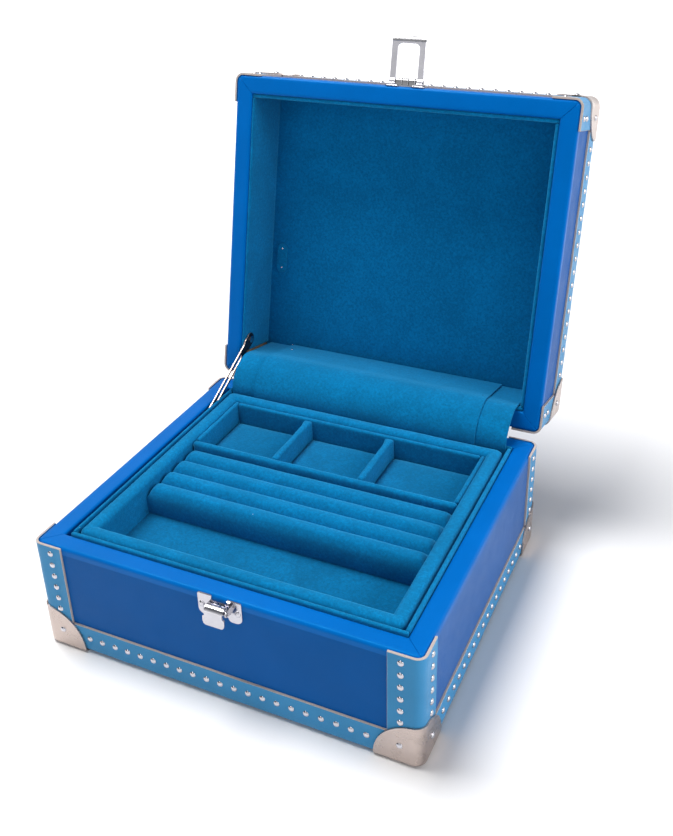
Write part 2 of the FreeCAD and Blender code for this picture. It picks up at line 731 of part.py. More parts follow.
def hinge_half(name, centre, leaf_z, own, other, bore):
    """One leaf with its knuckles, relieved for the other half's knuckles."""
    half = "size.hinge_leaf_width / 2"
    x = ("%s - %s" % (centre, half), "%s + %s" % (centre, half))
    skin = ("place.half_d", "place.half_d + size.hinge_leaf_sheet")
    solids = [block(name + "_leaf", x, skin, leaf_z)]
    for i in own:
        start, length = band(centre, i, "size.side_fit / 2")
        at = (start, "place.hinge_y", "place.hinge_z")
        solids.append(rod("%s_barrel_%d" % (name, i), "x", "size.knuckle_radius", at, length))
    joined = fuse(name + "_joined", solids)
    reliefs = []
    for i in other:
        start, length = band(centre, i, "-size.side_fit / 2")
        at = (start, "place.hinge_y", "place.hinge_z")
        reliefs.append(rod("%s_relief_%d" % (name, i), "x", "size.knuckle_radius + 0.3", at, length))
    at = ("%s - 1" % x[0], "place.hinge_y", "place.hinge_z")
    reliefs.append(rod(name + "_bore", "x", bore, at, "size.hinge_leaf_width + 2"))
    return cut(name + "_cut", joined, fuse(name + "_space", reliefs))


def build_hinges():
    low = ("place.rim - size.hinge_leaf_height", "place.rim")
    high = ("place.lid_rim", "place.lid_rim + size.hinge_leaf_height")
    fixed, running = "size.hinge_pin_radius", "size.hinge_pin_radius + size.pin_fit"
    base, lid, pins = [], [], []
    for i, centre in enumerate(HINGE_CENTRES):
        name = "hinge_%d" % (i + 1)
        base.append(hinge_half(name + "_base", centre, low, BASE_BANDS, LID_BANDS, fixed))
        lid.append(hinge_half(name + "_lid", centre, high, LID_BANDS, BASE_BANDS, running))
        at = ("%s - size.hinge_leaf_width / 2" % centre, "place.hinge_y", "place.hinge_z")
        pins.append(rod(name + "_pin", "x", fixed, at, "size.hinge_leaf_width"))
    keep("hinge_base_leaves", group("hinge_base_pair", base))
    keep("hinge_pins", group("hinge_pin_pair", pins))
    on_lid("hinge_lid_leaves", group("hinge_lid_pair", lid))


# --------------------------------------------------------------------------
# Latch
# --------------------------------------------------------------------------
def around_latch(half):
    return ("size.latch_offset - (%s)" % half, "size.latch_offset + (%s)" % half)


def latch_rod(name, radius, half, y, z):
    start = "size.latch_offset - (%s)" % half
    return rod(name, "x", radius, (start, y, z), "2 * (%s)" % half)


def build_catch():
    ear_out = "size.lever_width / 2"
    ear_in = "size.lever_width / 2 - size.ear_sheet"
    barrel = "size.lever_width / 2 - size.ear_sheet - size.side_fit"
    y, z = "place.catch_y", "place.catch_z"

    plate = block("catch_back", around_latch("size.latch_plate_width / 2"),
                  ("place.plate_y", "place.face_y"), ("place.catch_plate_low", "place.rim"))
    ends = latch_rod("ear_ends", "size.latch_pin_radius + 1.6", ear_out, y, z)
    webs = block("ear_webs", around_latch(ear_out), (y, "place.plate_y"), (z + " - 2.4", z + " + 2.4"))
    gap = block("ear_gap", around_latch(ear_in), (y + " - 6", "place.plate_y"), (z + " - 6", z + " + 6"))
    ears = cut("ears_cut", fuse("ears", [ends, webs]), gap)
    bore = latch_rod("ear_bore", "size.latch_pin_radius", ear_out + " + 1", y, z)
    keep("catch_plate", cut("catch_plate_cut", fuse("catch_plate_solid", [plate, ears]), bore))
    keep("catch_pin", latch_rod("catch_pin_rod", "size.latch_pin_radius", ear_out + " + 0.3", y, z))

    roll = latch_rod("lever_roll", "size.lever_barrel", barrel, y, z)
    inside = latch_rod("lever_inside", "size.lever_barrel - size.lever_sheet",
                       barrel + " - size.lever_sheet", y, z)
    window = block("lever_window", around_latch(barrel + " - size.lever_sheet"),
                   (y, y + " + 4"), (z + " - 4", z + " + 0.8"))
    bore = latch_rod("lever_bore", "size.latch_pin_radius + size.pin_fit", barrel + " + 1", y, z)
    hollow = fuse("lever_space", [inside, window, bore])
    skin = (y + " - 0.85 - size.lever_sheet", y + " - 0.85")
    neck = block("lever_neck", around_latch(barrel), skin, (z + " - 6", z + " - 2.75"))
    finger = block("lever_finger", around_latch("size.lever_width / 2"), skin,
                   (z + " - size.lever_length", z + " - 3.6"))
    soft = fillet("lever_finger_soft", finger, 2.2, lower_side_edges)
    shell = cut("lever_shell", roll, hollow)
    keep("catch_lever", fuse("catch_lever_solid", [shell, neck, soft]))

    coil, wire, turns = 1.3, 0.25, 4
    centre = Vector(size("latch_offset"), place("catch_y"), place("catch_z"))
    rings = []
    for i in range(turns):
        across = Vector((i - (turns - 1) / 2) * 2.4 * wire, 0, 0)
        rings.append(Part.makeTorus(coil, wire, centre + across, X_AXIS))
    foot = centre + across + Vector(0, 0, -coil)
    leg = Part.makeCylinder(wire * 0.9, place("plate_y") - centre.y, foot, Y_AXIS)
    rings[-1] = rings[-1].fuse(leg)
    keep("catch_spring", frame_part("catch_spring_wire", Part.makeCompound(rings)))


def lower_side_edges(edge):
    """The two lower corners of the lever finger."""
    return runs_along(edge, Y_AXIS) and edge.BoundBox.ZMax < place("catch_z") - 8


def build_hasp():
    y, z = "place.hasp_y", "place.hasp_z"
    barrel = "size.loop_width / 2 - size.loop_leg - 0.7"
    plate = block("hasp_back", around_latch("size.latch_plate_width / 2"),
                  ("place.plate_y", "place.face_y"),
                  ("place.lid_rim + 0.3", "place.lid_rim + size.hasp_plate_height"))
    roll = latch_rod("hasp_roll", "size.loop_eye", barrel, y, z)
    web = block("hasp_web", around_latch(barrel), (y, "place.plate_y"), (z + " - 1.2", z + " + 1.2"))
    bore = latch_rod("hasp_bore", "size.latch_pin_radius", barrel + " + 1", y, z)
    solid = fuse("hasp_plate_solid", [plate, roll, web])
    on_lid("hasp_plate", cut("hasp_plate_cut", solid, bore))
    pin = latch_rod("hasp_pin_rod", "size.latch_pin_radius", "size.loop_width / 2 + 0.3", y, z)
    on_lid("hasp_pin", group("hasp_pin_single", [pin]))

    half = "size.loop_width / 2"
    inner = "size.loop_width / 2 - size.loop_leg"
    level = (z + " - size.loop_sheet / 2", z + " + size.loop_sheet / 2")
    flat = block("loop_flat", around_latch(half), (y + " - size.loop_length", y), level)
    soft = fillet("loop_soft", flat, size("loop_corner"), far_upright)
    eyes = latch_rod("loop_eyes", "size.loop_eye", half, y, z)
    lip_y = (y + " - size.loop_length - 1.4", y + " - size.loop_length + 1.2")
    lip = block("loop_lip", around_latch(inner + " - 0.4"), lip_y,
                (z + " + size.loop_sheet / 2", z + " + size.loop_sheet / 2 + 0.9"))
    opening = block("loop_opening", around_latch(inner),
                    (y + " - size.loop_length + size.loop_bar", y + " + 4"), (z + " - 4", z + " + 4"))
    bore = latch_rod("loop_bore", "size.latch_pin_radius + size.pin_fit", half + " + 1", y, z)
    solid = fuse("loop_solid", [soft, eyes, lip])
    on_lid("hasp_loop", cut("loop_cut", solid, fuse("loop_space", [opening, bore])))


def far_upright(edge):
    """The two corners at the free end of the loop."""
    return upright(edge) and edge.BoundBox.YMax < place("hasp_y") - 5


# --------------------------------------------------------------------------
# Lid stay: a slotted arm from a rivet in the lid to a stud in the base
# --------------------------------------------------------------------------
def build_stay():
    closed = Vector(0, place("stay_pivot_y"), place("stay_pivot_z"))
    swing = Rotation(X_AXIS, -size("lid_open_angle"))
    pivot = HINGE_CENTRE + swing.multVec(closed - HINGE_CENTRE)
    slope = math.radians(size("stay_slope"))
    along = Vector(0, -math.cos(slope), -math.sin(slope))

    length = "place.stay_slot_end + 2"
    leg = "size.stay_leg_width / 2"
    slot = "size.stay_slot_width / 2"
    thick = ("0", "size.stay_sheet")
    solid = fuse("stay_solid", [
        block("stay_leg", ("0", length), ("-" + leg, leg), thick),
        rod("stay_end", "z", leg, (length, "0", "0"), "size.stay_sheet"),
        rod("stay_head", "z", "size.stay_head_radius", ("0", "0", "0"), "size.stay_sheet")])
    space = fuse("stay_space", [
        block("stay_slot", ("size.stay_slot_start", "place.stay_slot_end"), ("-" + slot, slot),
              ("-1", "size.stay_sheet + 1")),
        rod("stay_slot_a", "z", slot, ("size.stay_slot_start", "0", "-1"), "size.stay_sheet + 2"),
        rod("stay_slot_b", "z", slot, ("place.stay_slot_end", "0", "-1"), "size.stay_sheet + 2"),
        rod("stay_eye", "z", "1.6 + size.pin_fit", ("0", "0", "-1"), "size.stay_sheet + 2")])
    arm = cut("stay_cut", solid, space)
    turn = Rotation(along, Vector(), X_AXIS, "XZY")
    corner = Vector(-place("stay_x") - size("stay_sheet") / 2, pivot.y, pivot.z)
    arm.Placement = Placement(corner, turn)
    keep("stay_arm", arm)

    stud_at = pivot + along * size("stay_pin_distance")
    stud = doc.addObject("Part::Cylinder", "stay_stud")
    wall = place("half_w") - size("cover_leather") - size("wall_board")
    stud.setExpression("Radius", "size.stay_slot_width")
    stud.setExpression("Height", "place.half_w - size.cover_leather - size.wall_board"
                                 " - place.stay_x - size.stay_sheet / 2 - 0.2")
    stud.Placement = Placement(Vector(-wall, stud_at.y, stud_at.z), ALONG["x"])
    keep("stay_base_stud", stud)

    y, z = "place.stay_pivot_y", "place.stay_pivot_z"
    shank = rod("stay_shank", "x", "1.6", ("-place.lid_stay_face", y, z), "1.9")
    head = rod("stay_rivet_head", "x", "2.4", ("-place.lid_stay_face + 1.55", y, z), "0.5")
    on_lid("stay_rivet", fuse("stay_rivet_solid", [shank, head]))


# --------------------------------------------------------------------------
# Cloth gusset between the base and the lid, and the pull tab
# --------------------------------------------------------------------------
def ribbon(points, start, thickness, half_width):
    """A strip of cloth through points in YZ, lifted off them and thickened."""
    normals = []
    for i in range(len(points)):
        before = points[max(i - 1, 0)]
        after = points[min(i + 1, len(points) - 1)]
        step = after - before
        normals.append(Vector(0, -step.z, step.y).normalize())
    low = [p + n * start for p, n in zip(points, normals)]
    high = [p + n * (start + thickness) for p, n in zip(points, normals)]
    ring = low + high[::-1] + [low[0]]
    face = Part.Face(Part.makePolygon([Vector(-half_width, p.y, p.z) for p in ring]))
    return face.extrude(Vector(2 * half_width, 0, 0))


def build_gusset():
    wall = place("liner_in_y")
    liner_y = place("in_y") - size("liner_panel")
    swing = Rotation(X_AXIS, -size("lid_open_angle"))

    def opened(y, z):
        return HINGE_CENTRE + swing.multVec(Vector(0, y, z) - HINGE_CENTRE)

    near = opened(liner_y, place("lid_liner_low"))
    far = opened(liner_y, place("lid_ceiling") - 3)
    top = place("liner_top")
    points = [Vector(0, wall, top - 18), Vector(0, wall, top + 1.5)]
    points += [Vector(0, wall + 2.4, top + 7.0), Vector(0, wall + 8.0, top + 12.5)]
    points += [Vector(0, wall + 15.0, top + 15.8), near + Vector(0, -0.4, 0.7), far]
    cloth = size("cloth")
    half = place("gusset_x")
    keep("gusset_lining", frame_part("gusset_cloth", ribbon(points, 0.15, cloth, half)))
    half -= size("overlay_inset")
    keep("gusset_overlay", frame_part("overlay_cloth", ribbon(points, 0.3 + cloth, cloth, half)))


def build_tab():
    half = "size.tab_width / 2"
    low = "place.lid_ceiling - size.tab_sheet"
    z = (low, "place.lid_ceiling")
    reach = "size.tab_length / 2 - size.tab_width / 2"
    x = ("size.tab_x - (%s)" % half, "size.tab_x + (%s)" % half)
    y = ("size.tab_y - (%s)" % reach, "size.tab_y + (%s)" % reach)
    strip = block("tab_strip", x, y, z)
    ends = [rod("tab_end_%d" % i, "z", half, ("size.tab_x", end, low), "size.tab_sheet")
            for i, end in enumerate(y)]
    on_lid("lid_tab", fuse("lid_tab_solid", [strip] + ends))


# --------------------------------------------------------------------------
# Build, check and write every piece
# --------------------------------------------------------------------------
build_shells()
build_trims()
build_rivets()
build_underside()
build_liners()
build_tray()
build_hinges()
build_catch()
build_hasp()
build_stay()
build_gusset()
build_tab()
doc.recompute()

for item in doc.Objects:
    if "Invalid" in item.State or "Error" in item.State:
        raise RuntimeError("%s is %s" % (item.Label, item.State))

os.makedirs("parts", exist_ok=True)
for item in NODES:
    shape = item.Shape
    if shape.isNull() or not shape.isValid() or not shape.Solids:
        raise RuntimeError("%s has no valid solid" % item.Label)
    shape.exportStep(os.path.join("parts", item.Label + ".step"))
    print("%-32s %4d solids %10.1f mm3" % (item.Label, len(shape.Solids), shape.Volume))
print(len(NODES), "nodes")
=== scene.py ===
"""Visual model of the jewelry case: leather, suede, metal fittings, studio and camera.

Lengths are metres. Lid pieces are made as if the lid were closed and then turned
open with the hinge, so each one is written in the same upright terms as the base.
"""
import itertools
import math

import bmesh
import bpy
from mathutils import Matrix, Vector, noise
from mathutils.geometry import tessellate_polygon


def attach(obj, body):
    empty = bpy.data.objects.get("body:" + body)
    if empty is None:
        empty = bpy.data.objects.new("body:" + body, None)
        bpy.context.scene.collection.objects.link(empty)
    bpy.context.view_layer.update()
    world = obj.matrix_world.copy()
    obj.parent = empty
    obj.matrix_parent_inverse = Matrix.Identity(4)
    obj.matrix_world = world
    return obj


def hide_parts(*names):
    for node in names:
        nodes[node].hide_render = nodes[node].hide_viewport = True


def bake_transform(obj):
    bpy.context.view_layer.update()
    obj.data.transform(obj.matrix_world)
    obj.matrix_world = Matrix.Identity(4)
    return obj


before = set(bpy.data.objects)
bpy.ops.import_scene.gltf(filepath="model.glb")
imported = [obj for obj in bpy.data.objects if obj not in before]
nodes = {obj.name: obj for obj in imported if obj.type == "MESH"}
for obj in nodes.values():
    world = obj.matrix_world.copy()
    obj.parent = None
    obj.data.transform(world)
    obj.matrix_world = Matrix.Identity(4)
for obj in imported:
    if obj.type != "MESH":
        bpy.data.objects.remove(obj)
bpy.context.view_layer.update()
MM = 0.001

# Sizes shared with the CAD, in millimetres
HALF_W, HALF_D = 110.0, 98.5
RIM, LID_RIM, LID_TOP = 69.0, 69.8, 114.8
UNDER = 2.1
CORNER = 4.0
RIM_WIDE, BINDING_REACH = 11.2, 4.5
STRIP_REACH, STRIP_THICK = 17.0, 1.3
TRIM_HIGH, TRIM_UNDER, TRIM_END, TRIM_THICK = 18.1, 14.0, 17.2, 1.2
CAP_REACH, CAP_RIVET_IN = 24.0, 10.08
RIVET_RADIUS, RIVET_PITCH = 1.75, 8.25
STRIP_RIVET_IN, STRIP_RIVET_PITCH = 10.2, 7.5
LID_CEILING = 107.3
HINGE_Y, HINGE_Z, OPEN_DEG = 102.1, 69.4, 102.6
MIRROR_Z = LID_TOP + UNDER
LATCH_X, PLATE_SHEET, EAR_SHEET = 4.0, 0.8, 0.9
CATCH_OUT, CATCH_Z = 4.25, 63.4
HASP_OUT, HASP_Z = 3.0, 73.2
STAY_X, STAY_SHEET = -96.85, 0.9
STAY_PIVOT, STAY_SLOPE = (116.54, 92.30), math.radians(24.9)
NUB = (26.4, 30.8, 1.2, 6.8)
GUSSET_PINS = ((-75.3, 103.0), (-70.5, 92.2), (71.9, 72.8))

HINGE = Vector((0, HINGE_Y, HINGE_Z))
SWING = Matrix.Rotation(math.radians(-OPEN_DEG), 4, "X")
OPEN = Matrix.Translation(HINGE) @ SWING @ Matrix.Translation(-HINGE)


# ---------------------------------------------------------------- materials
def map_range(tree, source, low, high, to_low, to_high):
    """A value carried from one range to another and held at its ends."""
    node = tree.nodes.new("ShaderNodeMapRange")
    for key, value in (("From Min", low), ("From Max", high), ("To Min", to_low), ("To Max", to_high)):
        node.inputs[key].default_value = value
    tree.links.new(source, node.inputs["Value"])
    return node.outputs["Result"]


class Shader:
    """A material's node tree with short ways to add and join nodes."""

    def __init__(self, name):
        self.material = bpy.data.materials.new(name)
        self.material.use_nodes = True
        self.tree = self.material.node_tree
        self.bsdf = self.tree.nodes["Principled BSDF"]
        self.place = self.add("ShaderNodeTexCoord").outputs["Object"]
        self.bump = None

    def add(self, kind, **values):
        node = self.tree.nodes.new(kind)
        for key, value in values.items():
            if hasattr(node, key):
                setattr(node, key, value)
            else:
                node.inputs[key].default_value = value
        return node

    def link(self, source, target):
        self.tree.links.new(source, target)

    def stretch(self, x, y, z):
        node = self.add("ShaderNodeMapping")
        node.inputs["Scale"].default_value = (x, y, z)
        self.link(self.place, node.inputs["Vector"])
        return node.outputs["Vector"]

    def noise(self, scale, detail=4.0, rough=0.55, vector=None, distort=0.0):
        node = self.add("ShaderNodeTexNoise", Scale=scale, Detail=detail, Roughness=rough,
                        Distortion=distort)
        self.link(vector or self.place, node.inputs["Vector"])
        return node.outputs["Fac"]

    def voronoi(self, scale, feature="F1", vector=None, random=1.0):
        node = self.add("ShaderNodeTexVoronoi", feature=feature)
        node.inputs["Scale"].default_value = scale
        node.inputs["Randomness"].default_value = random
        self.link(vector or self.place, node.inputs["Vector"])
        return node.outputs["Distance"]

    def ramp(self, fac, *stops):
        node = self.add("ShaderNodeValToRGB")
        ramp = node.color_ramp
        while len(ramp.elements) < len(stops):
            ramp.elements.new(0.5)
        for element, (position, color) in zip(ramp.elements, stops):
            element.position = position
            element.color = (*color, 1.0) if hasattr(color, "__len__") else (color, color, color, 1.0)
        self.link(fac, node.inputs["Fac"])
        return node.outputs["Color"]

    def spread(self, fac, low, high, to_low, to_high):
        return map_range(self.tree, fac, low, high, to_low, to_high)

    def mix(self, fac, first, second, blend="MIX"):
        node = self.add("ShaderNodeMix", data_type="RGBA", blend_type=blend)
        for value, key in ((fac, 0), (first, 6), (second, 7)):
            socket = node.inputs[key]
            if isinstance(value, bpy.types.NodeSocket):
                self.link(value, socket)
            elif hasattr(value, "__len__"):
                socket.default_value = (*value, 1.0)
            else:
                socket.default_value = value
        return node.outputs[2]

    def relief(self, height, strength, distance):
        node = self.add("ShaderNodeBump", Strength=strength, Distance=distance)
        self.link(height, node.inputs["Height"])
        if self.bump:
            self.link(self.bump, node.inputs["Normal"])
        self.bump = node.outputs["Normal"]

    def set(self, **values):
        for key, value in values.items():
            socket = self.bsdf.inputs[key.replace("_", " ")]
            if isinstance(value, bpy.types.NodeSocket):
                self.link(value, socket)
            elif hasattr(value, "__len__"):
                socket.default_value = (*value, 1.0)
            else:
                socket.default_value = value

    def done(self):
        if self.bump:
            self.link(self.bump, self.bsdf.inputs["Normal"])
        return self.material


def tone(color, factor):
    return tuple(min(1.0, c * factor) for c in color)


def leather(name, color, grain=1500.0, depth=0.00008, rough=0.42, mottle=0.05, haze=0.0, gloss=0.30):
    """Finished leather: pebbled grain, faint mottling and rub marks."""
    s = Shader(name)
    cloudy = s.noise(26.0, 4.0, 0.5)
    base = s.ramp(cloudy, (0.35, tone(color, 1 - mottle)), (0.65, tone(color, 1 + mottle)))
    pores = s.voronoi(grain, "DISTANCE_TO_EDGE")
    creases = s.spread(pores, 0.0, 0.12, 0.0, 1.0)
    base = s.mix(s.spread(creases, 0.0, 1.0, 0.22, 0.0), base, tone(color, 0.60))
    s.relief(creases, 0.25, depth)
    s.relief(s.noise(grain * 0.45, 3.0, 0.6), 0.22, depth * 1.4)
    s.relief(s.noise(60.0, 2.0, 0.5), 0.16, 0.0005)
    worn = s.spread(s.noise(80.0, 5.0, 0.6), 0.30, 0.75, rough - 0.05, rough + 0.08)
    s.set(Base_Color=base, Roughness=worn, Specular_IOR_Level=gloss, Specular_Tint=(0.0, 0.55, 0.90))
    s.set(Sheen_Weight=haze, Sheen_Roughness=0.24, Sheen_Tint=(0.75, 0.85, 1.0))
    return s.done()


def raw_edge(name, color):
    """Cut leather edge: pale, fibrous and dull."""
    s = Shader(name)
    fibre = s.noise(2600.0, 4.0, 0.7)
    base = s.ramp(fibre, (0.30, tone(color, 0.62)), (0.65, color))
    s.relief(fibre, 0.6, 0.00012)
    s.set(Base_Color=base, Roughness=0.78)
    return s.done()


def suede(name, color, mottle=0.22, sheen=0.55, brush=(1.0, 1.0, 1.0), lint=0.0):
    """Microfibre suede: brushed patches, a short nap, a soft sheen and a little lint."""
    s = Shader(name)
    strokes = s.stretch(*brush)
    broad = s.noise(34.0, 5.0, 0.62, strokes, 0.6)
    tufts = s.noise(620.0, 4.0, 0.72, strokes, 0.3)
    nap = s.noise(2400.0, 3.0, 0.75)
    base = s.ramp(broad, (0.30, tone(color, 1 - mottle)), (0.52, color), (0.72, tone(color, 1 + mottle)))
    base = s.mix(s.spread(tufts, 0.36, 0.60, 0.75, 0.0), base, tone(color, 0.62))
    base = s.mix(s.spread(tufts, 0.55, 0.78, 0.0, 0.55), base, tone(color, 1.45))
    base = s.mix(s.spread(nap, 0.50, 0.78, 0.0, 0.40), base, tone(color, 1.60))
    if lint:
        flecks = s.spread(s.voronoi(70.0), 0.010, 0.022, lint, 0.0)
        base = s.mix(flecks, base, (0.42, 0.58, 0.70))
    s.relief(nap, 0.45, 0.00014)
    s.relief(tufts, 0.50, 0.00030)
    s.relief(broad, 0.25, 0.0012)
    s.set(Base_Color=base, Roughness=0.95, Specular_IOR_Level=0.06)
    s.set(Sheen_Weight=sheen, Sheen_Roughness=0.50, Sheen_Tint=(0.10, 0.60, 1.0))
    return s.done()


def plated(name, color, rough=0.16, smudge=0.16, dents=0.25):
    """Plated sheet metal: nearly a mirror, with smudges and hairline scratches."""
    s = Shader(name)
    smear = s.noise(120.0, 5.0, 0.6)
    lines = s.noise(900.0, 2.0, 0.5, s.stretch(0.05, 1.0, 1.0))
    base = s.ramp(smear, (0.3, tone(color, 0.86)), (0.7, color))
    glossy = s.spread(smear, 0.30, 0.75, rough, rough + smudge)
    s.relief(s.noise(55.0, 2.0, 0.5), dents, 0.0012)
    s.relief(lines, 0.10, 0.00003)
    s.set(Base_Color=base, Metallic=1.0, Roughness=glossy)
    return s.done()


def plywood(name):
    """Plywood edge and face, seen only where a skin stops."""
    s = Shader(name)
    plies = s.noise(40.0, 4.0, 0.6, s.stretch(1.0, 1.0, 18.0))
    base = s.ramp(plies, (0.3, (0.28, 0.18, 0.10)), (0.7, (0.52, 0.37, 0.22)))
    s.relief(plies, 0.3, 0.0002)
    s.set(Base_Color=base, Roughness=0.7)
    return s.done()


BLUE = leather("leather_blue", (0.000, 0.076, 0.295), rough=0.42, haze=0.50, gloss=0.14)
BLUE_LID = leather("leather_blue_lid", (0.000, 0.076, 0.295), rough=0.42, gloss=0.10)
BINDING = leather("leather_binding", (0.000, 0.105, 0.400), grain=1700.0, depth=0.00005,
                  rough=0.42, haze=0.0)
LIGHT = leather("leather_light", (0.045, 0.225, 0.440), depth=0.00007, rough=0.42, mottle=0.07, haze=0.10)
EDGE = raw_edge("leather_edge", (0.46, 0.40, 0.37))
SUEDE = suede("suede", (0.000, 0.138, 0.325), lint=0.7)
# The same suede darkened to about 0.8 for the floors down inside the tray: painted shade for the recesses.
SUEDE_FLOOR_PAINTED_SHADE = suede("suede_floor_painted_shade", (0.000, 0.112, 0.265), lint=0.7)
SUEDE_PANEL = suede("suede_panel", (0.000, 0.125, 0.320), mottle=0.16, sheen=0.35)
CLOTH = suede("gusset_cloth", (0.000, 0.135, 0.315), mottle=0.20, lint=0.5)
NICKEL = plated("nickel", (0.62, 0.61, 0.65), rough=0.10, smudge=0.16, dents=0.40)
CAP = plated("corner_metal", (0.56, 0.47, 0.43), rough=0.20, smudge=0.22, dents=0.55)
STEEL = plated("steel", (0.30, 0.30, 0.31), rough=0.24)
# Near-black plated face for the stay arm: a painted dark reflection of the surroundings, not the metal's
# own colour.
STAY_FACE_PAINTED_REFLECTION = plated("stay_face_painted_reflection", (0.09, 0.09, 0.10), rough=0.30)
STAY_EDGE = plated("stay_edge", (0.58, 0.46, 0.41), rough=0.38)
WOOD = plywood("plywood")


# ---------------------------------------------------------------- mesh helpers
def make(name, verts, faces, materials, body, lid=False, flat_below=40.0):
    """A piece from points in millimetres, smooth except across sharp edges.

    A face is a tuple of indices, or a pair of that tuple and a material index."""
    mesh = bpy.data.meshes.new(name)
    pairs = [face if hasattr(face[0], "__len__") else (face, 0) for face in faces]
    mesh.from_pydata([tuple(c * MM for c in v) for v in verts], [], [face for face, _ in pairs])
    for material in materials:
        mesh.materials.append(material)
    for polygon, (_, material_index) in zip(mesh.polygons, pairs):
        polygon.material_index = material_index
    if lid:
        turn = OPEN.copy()
        turn.translation = turn.translation * MM
        mesh.transform(turn)
    mesh.validate()
    shell = bmesh.new()
    shell.from_mesh(mesh)
    bmesh.ops.recalc_face_normals(shell, faces=shell.faces)
    shell.to_mesh(mesh)
    shell.free()
    obj = bpy.data.objects.new(name, mesh)
    bpy.context.scene.collection.objects.link(obj)
    shade(obj, flat_below)
    if body:
        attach(obj, body)
    return obj


def stand_in(piece, node):
    """Hides the CAD node that a piece stands in for."""
    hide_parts(node)


def shade(obj, angle):
    """Smooth shading with edges sharper than the angle kept crisp."""
    mesh = obj.data
    mesh.shade_smooth()
    mesh.set_sharp_from_angle(angle=math.radians(angle))


def grid_faces(rows, columns, wrap=False):
    """Quads of a rows by columns grid of points."""
    faces = []
    last = columns if wrap else columns - 1
    for i in range(rows - 1):
        for j in range(last):
            a = i * columns + j
            b = i * columns + (j + 1) % columns
            faces.append((a, b, b + columns, a + columns))
    return faces


def border_of(rows, columns):
    """Indices round the edge of a rows by columns grid, in order."""
    border = list(range(columns)) + [i * columns + columns - 1 for i in range(1, rows)]
    border += [(rows - 1) * columns + j for j in range(columns - 2, -1, -1)]
    return border + [i * columns for i in range(rows - 2, 0, -1)]


def ring_path(half_x, half_y, radius, arc=8, side=24):
    """Points round a rounded rectangle, anticlockwise from the right end of the front side."""
    radius = max(radius, 0.05)
    points = []
    corners = [(1, -1, -90), (1, 1, 0), (-1, 1, 90), (-1, -1, 180)]
    for index, (sx, sy, start) in enumerate(corners):
        cx, cy = sx * (half_x - radius), sy * (half_y - radius)
        for k in range(arc + 1):
            angle = math.radians(start + 90 * k / arc)
            points.append((cx + radius * math.cos(angle), cy + radius * math.sin(angle)))
        nx, ny, nstart = corners[(index + 1) % 4]
        ex = nx * (half_x - radius) + radius * math.cos(math.radians(nstart))
        ey = ny * (half_y - radius) + radius * math.sin(math.radians(nstart))
        px, py = points[-1]
        for k in range(1, side):
            t = k / side
            points.append((px + (ex - px) * t, py + (ey - py) * t))
    return points


def ring(name, profile, half_x, half_y, radius, materials, body, lid=False, centre=(0, 0), closed=True,
         arc=8, side=24, wobble=None, min_radius=0.8, angle=40.0):
    """A frame swept round the case. The profile is a list of (inset, height)."""
    verts = []
    count = 0
    for inset, z in profile:
        path = ring_path(half_x - inset, half_y - inset, max(radius - inset, min_radius), arc, side)
        count = len(path)
        for k, (x, y) in enumerate(path):
            p = Vector((x + centre[0], y + centre[1], z))
            if wobble:
                p = wobble(p, k, count, inset, z)
            verts.append(tuple(p))
    faces = grid_faces(len(profile), count, wrap=True)
    if closed:
        last = (len(profile) - 1) * count
        faces += [(last + j, last + (j + 1) % count, (j + 1) % count, j) for j in range(count)]
    return make(name, verts, faces, materials, body, lid, angle)


def arc_points(cx, cz, radius, start, stop, steps):
    """(inset, height) points on an arc, angles in degrees."""
    points = []
    for k in range(steps + 1):
        angle = math.radians(start + (stop - start) * k / steps)
        points.append((cx + radius * math.cos(angle), cz + radius * math.sin(angle)))
    return points


def band(name, path, normals, along, thickness, place, materials, body, lid=False,
         chamfer=0.25, uneven=0.0):
    """A strip of leather: a path across it, run along a direction, with pale cut edges.

    path and normals are 2-D; place(u, v, t) gives the point in space."""
    rows, columns = len(path), len(along)

    def layer(lift, pull):
        points = []
        for i, ((u, v), (nu, nv)) in enumerate(zip(path, normals)):
            if i in (0, rows - 1) and pull:
                other = path[1] if i == 0 else path[-2]
                length = math.hypot(other[0] - u, other[1] - v)
                u += (other[0] - u) * pull / length
                v += (other[1] - v) * pull / length
            for t in along:
                if t in (along[0], along[-1]):
                    t += pull if t == along[0] else -pull
                drift = uneven * noise.noise(Vector((u * 0.09, v * 0.09, t * 0.09 + 3.0)))
                edge = 0.0 if lift == 0 else drift
                points.append(place(u + nu * (lift + edge), v + nv * (lift + edge), t))
        return points

    verts = layer(0.0, 0.0) + layer(thickness - chamfer, 0.0) + layer(thickness, chamfer)
    size = rows * columns
    faces = []
    for a, b, c, d in grid_faces(rows, columns):
        faces.append(((2 * size + a, 2 * size + b, 2 * size + c, 2 * size + d), 0))
        faces.append(((d, c, b, a), 0))
    border = border_of(rows, columns)
    for k, a in enumerate(border):
        b = border[(k + 1) % len(border)]
        faces.append(((a, b, size + b, size + a), 1))
        faces.append(((size + a, size + b, 2 * size + b, 2 * size + a), 1))
    return make(name, verts, faces, materials, body, lid, 35.0)


def steps(low, high, pitch):
    """Evenly spaced values from low to high."""
    count = max(1, round(abs(high - low) / pitch))
    return [low + (high - low) * k / count for k in range(count + 1)]


def shell_faces(rows, columns):
    """Faces of a sheet made of two stacked grids of points, with its borders closed."""
    size = rows * columns
    faces = []
    for a, b, c, d in grid_faces(rows, columns):
        faces.append((size + a, size + b, size + c, size + d))
        faces.append((d, c, b, a))
    border = border_of(rows, columns)
    for k, a in enumerate(border):
        b = border[(k + 1) % len(border)]
        faces.append((a, b, size + b, size + a))
    return faces


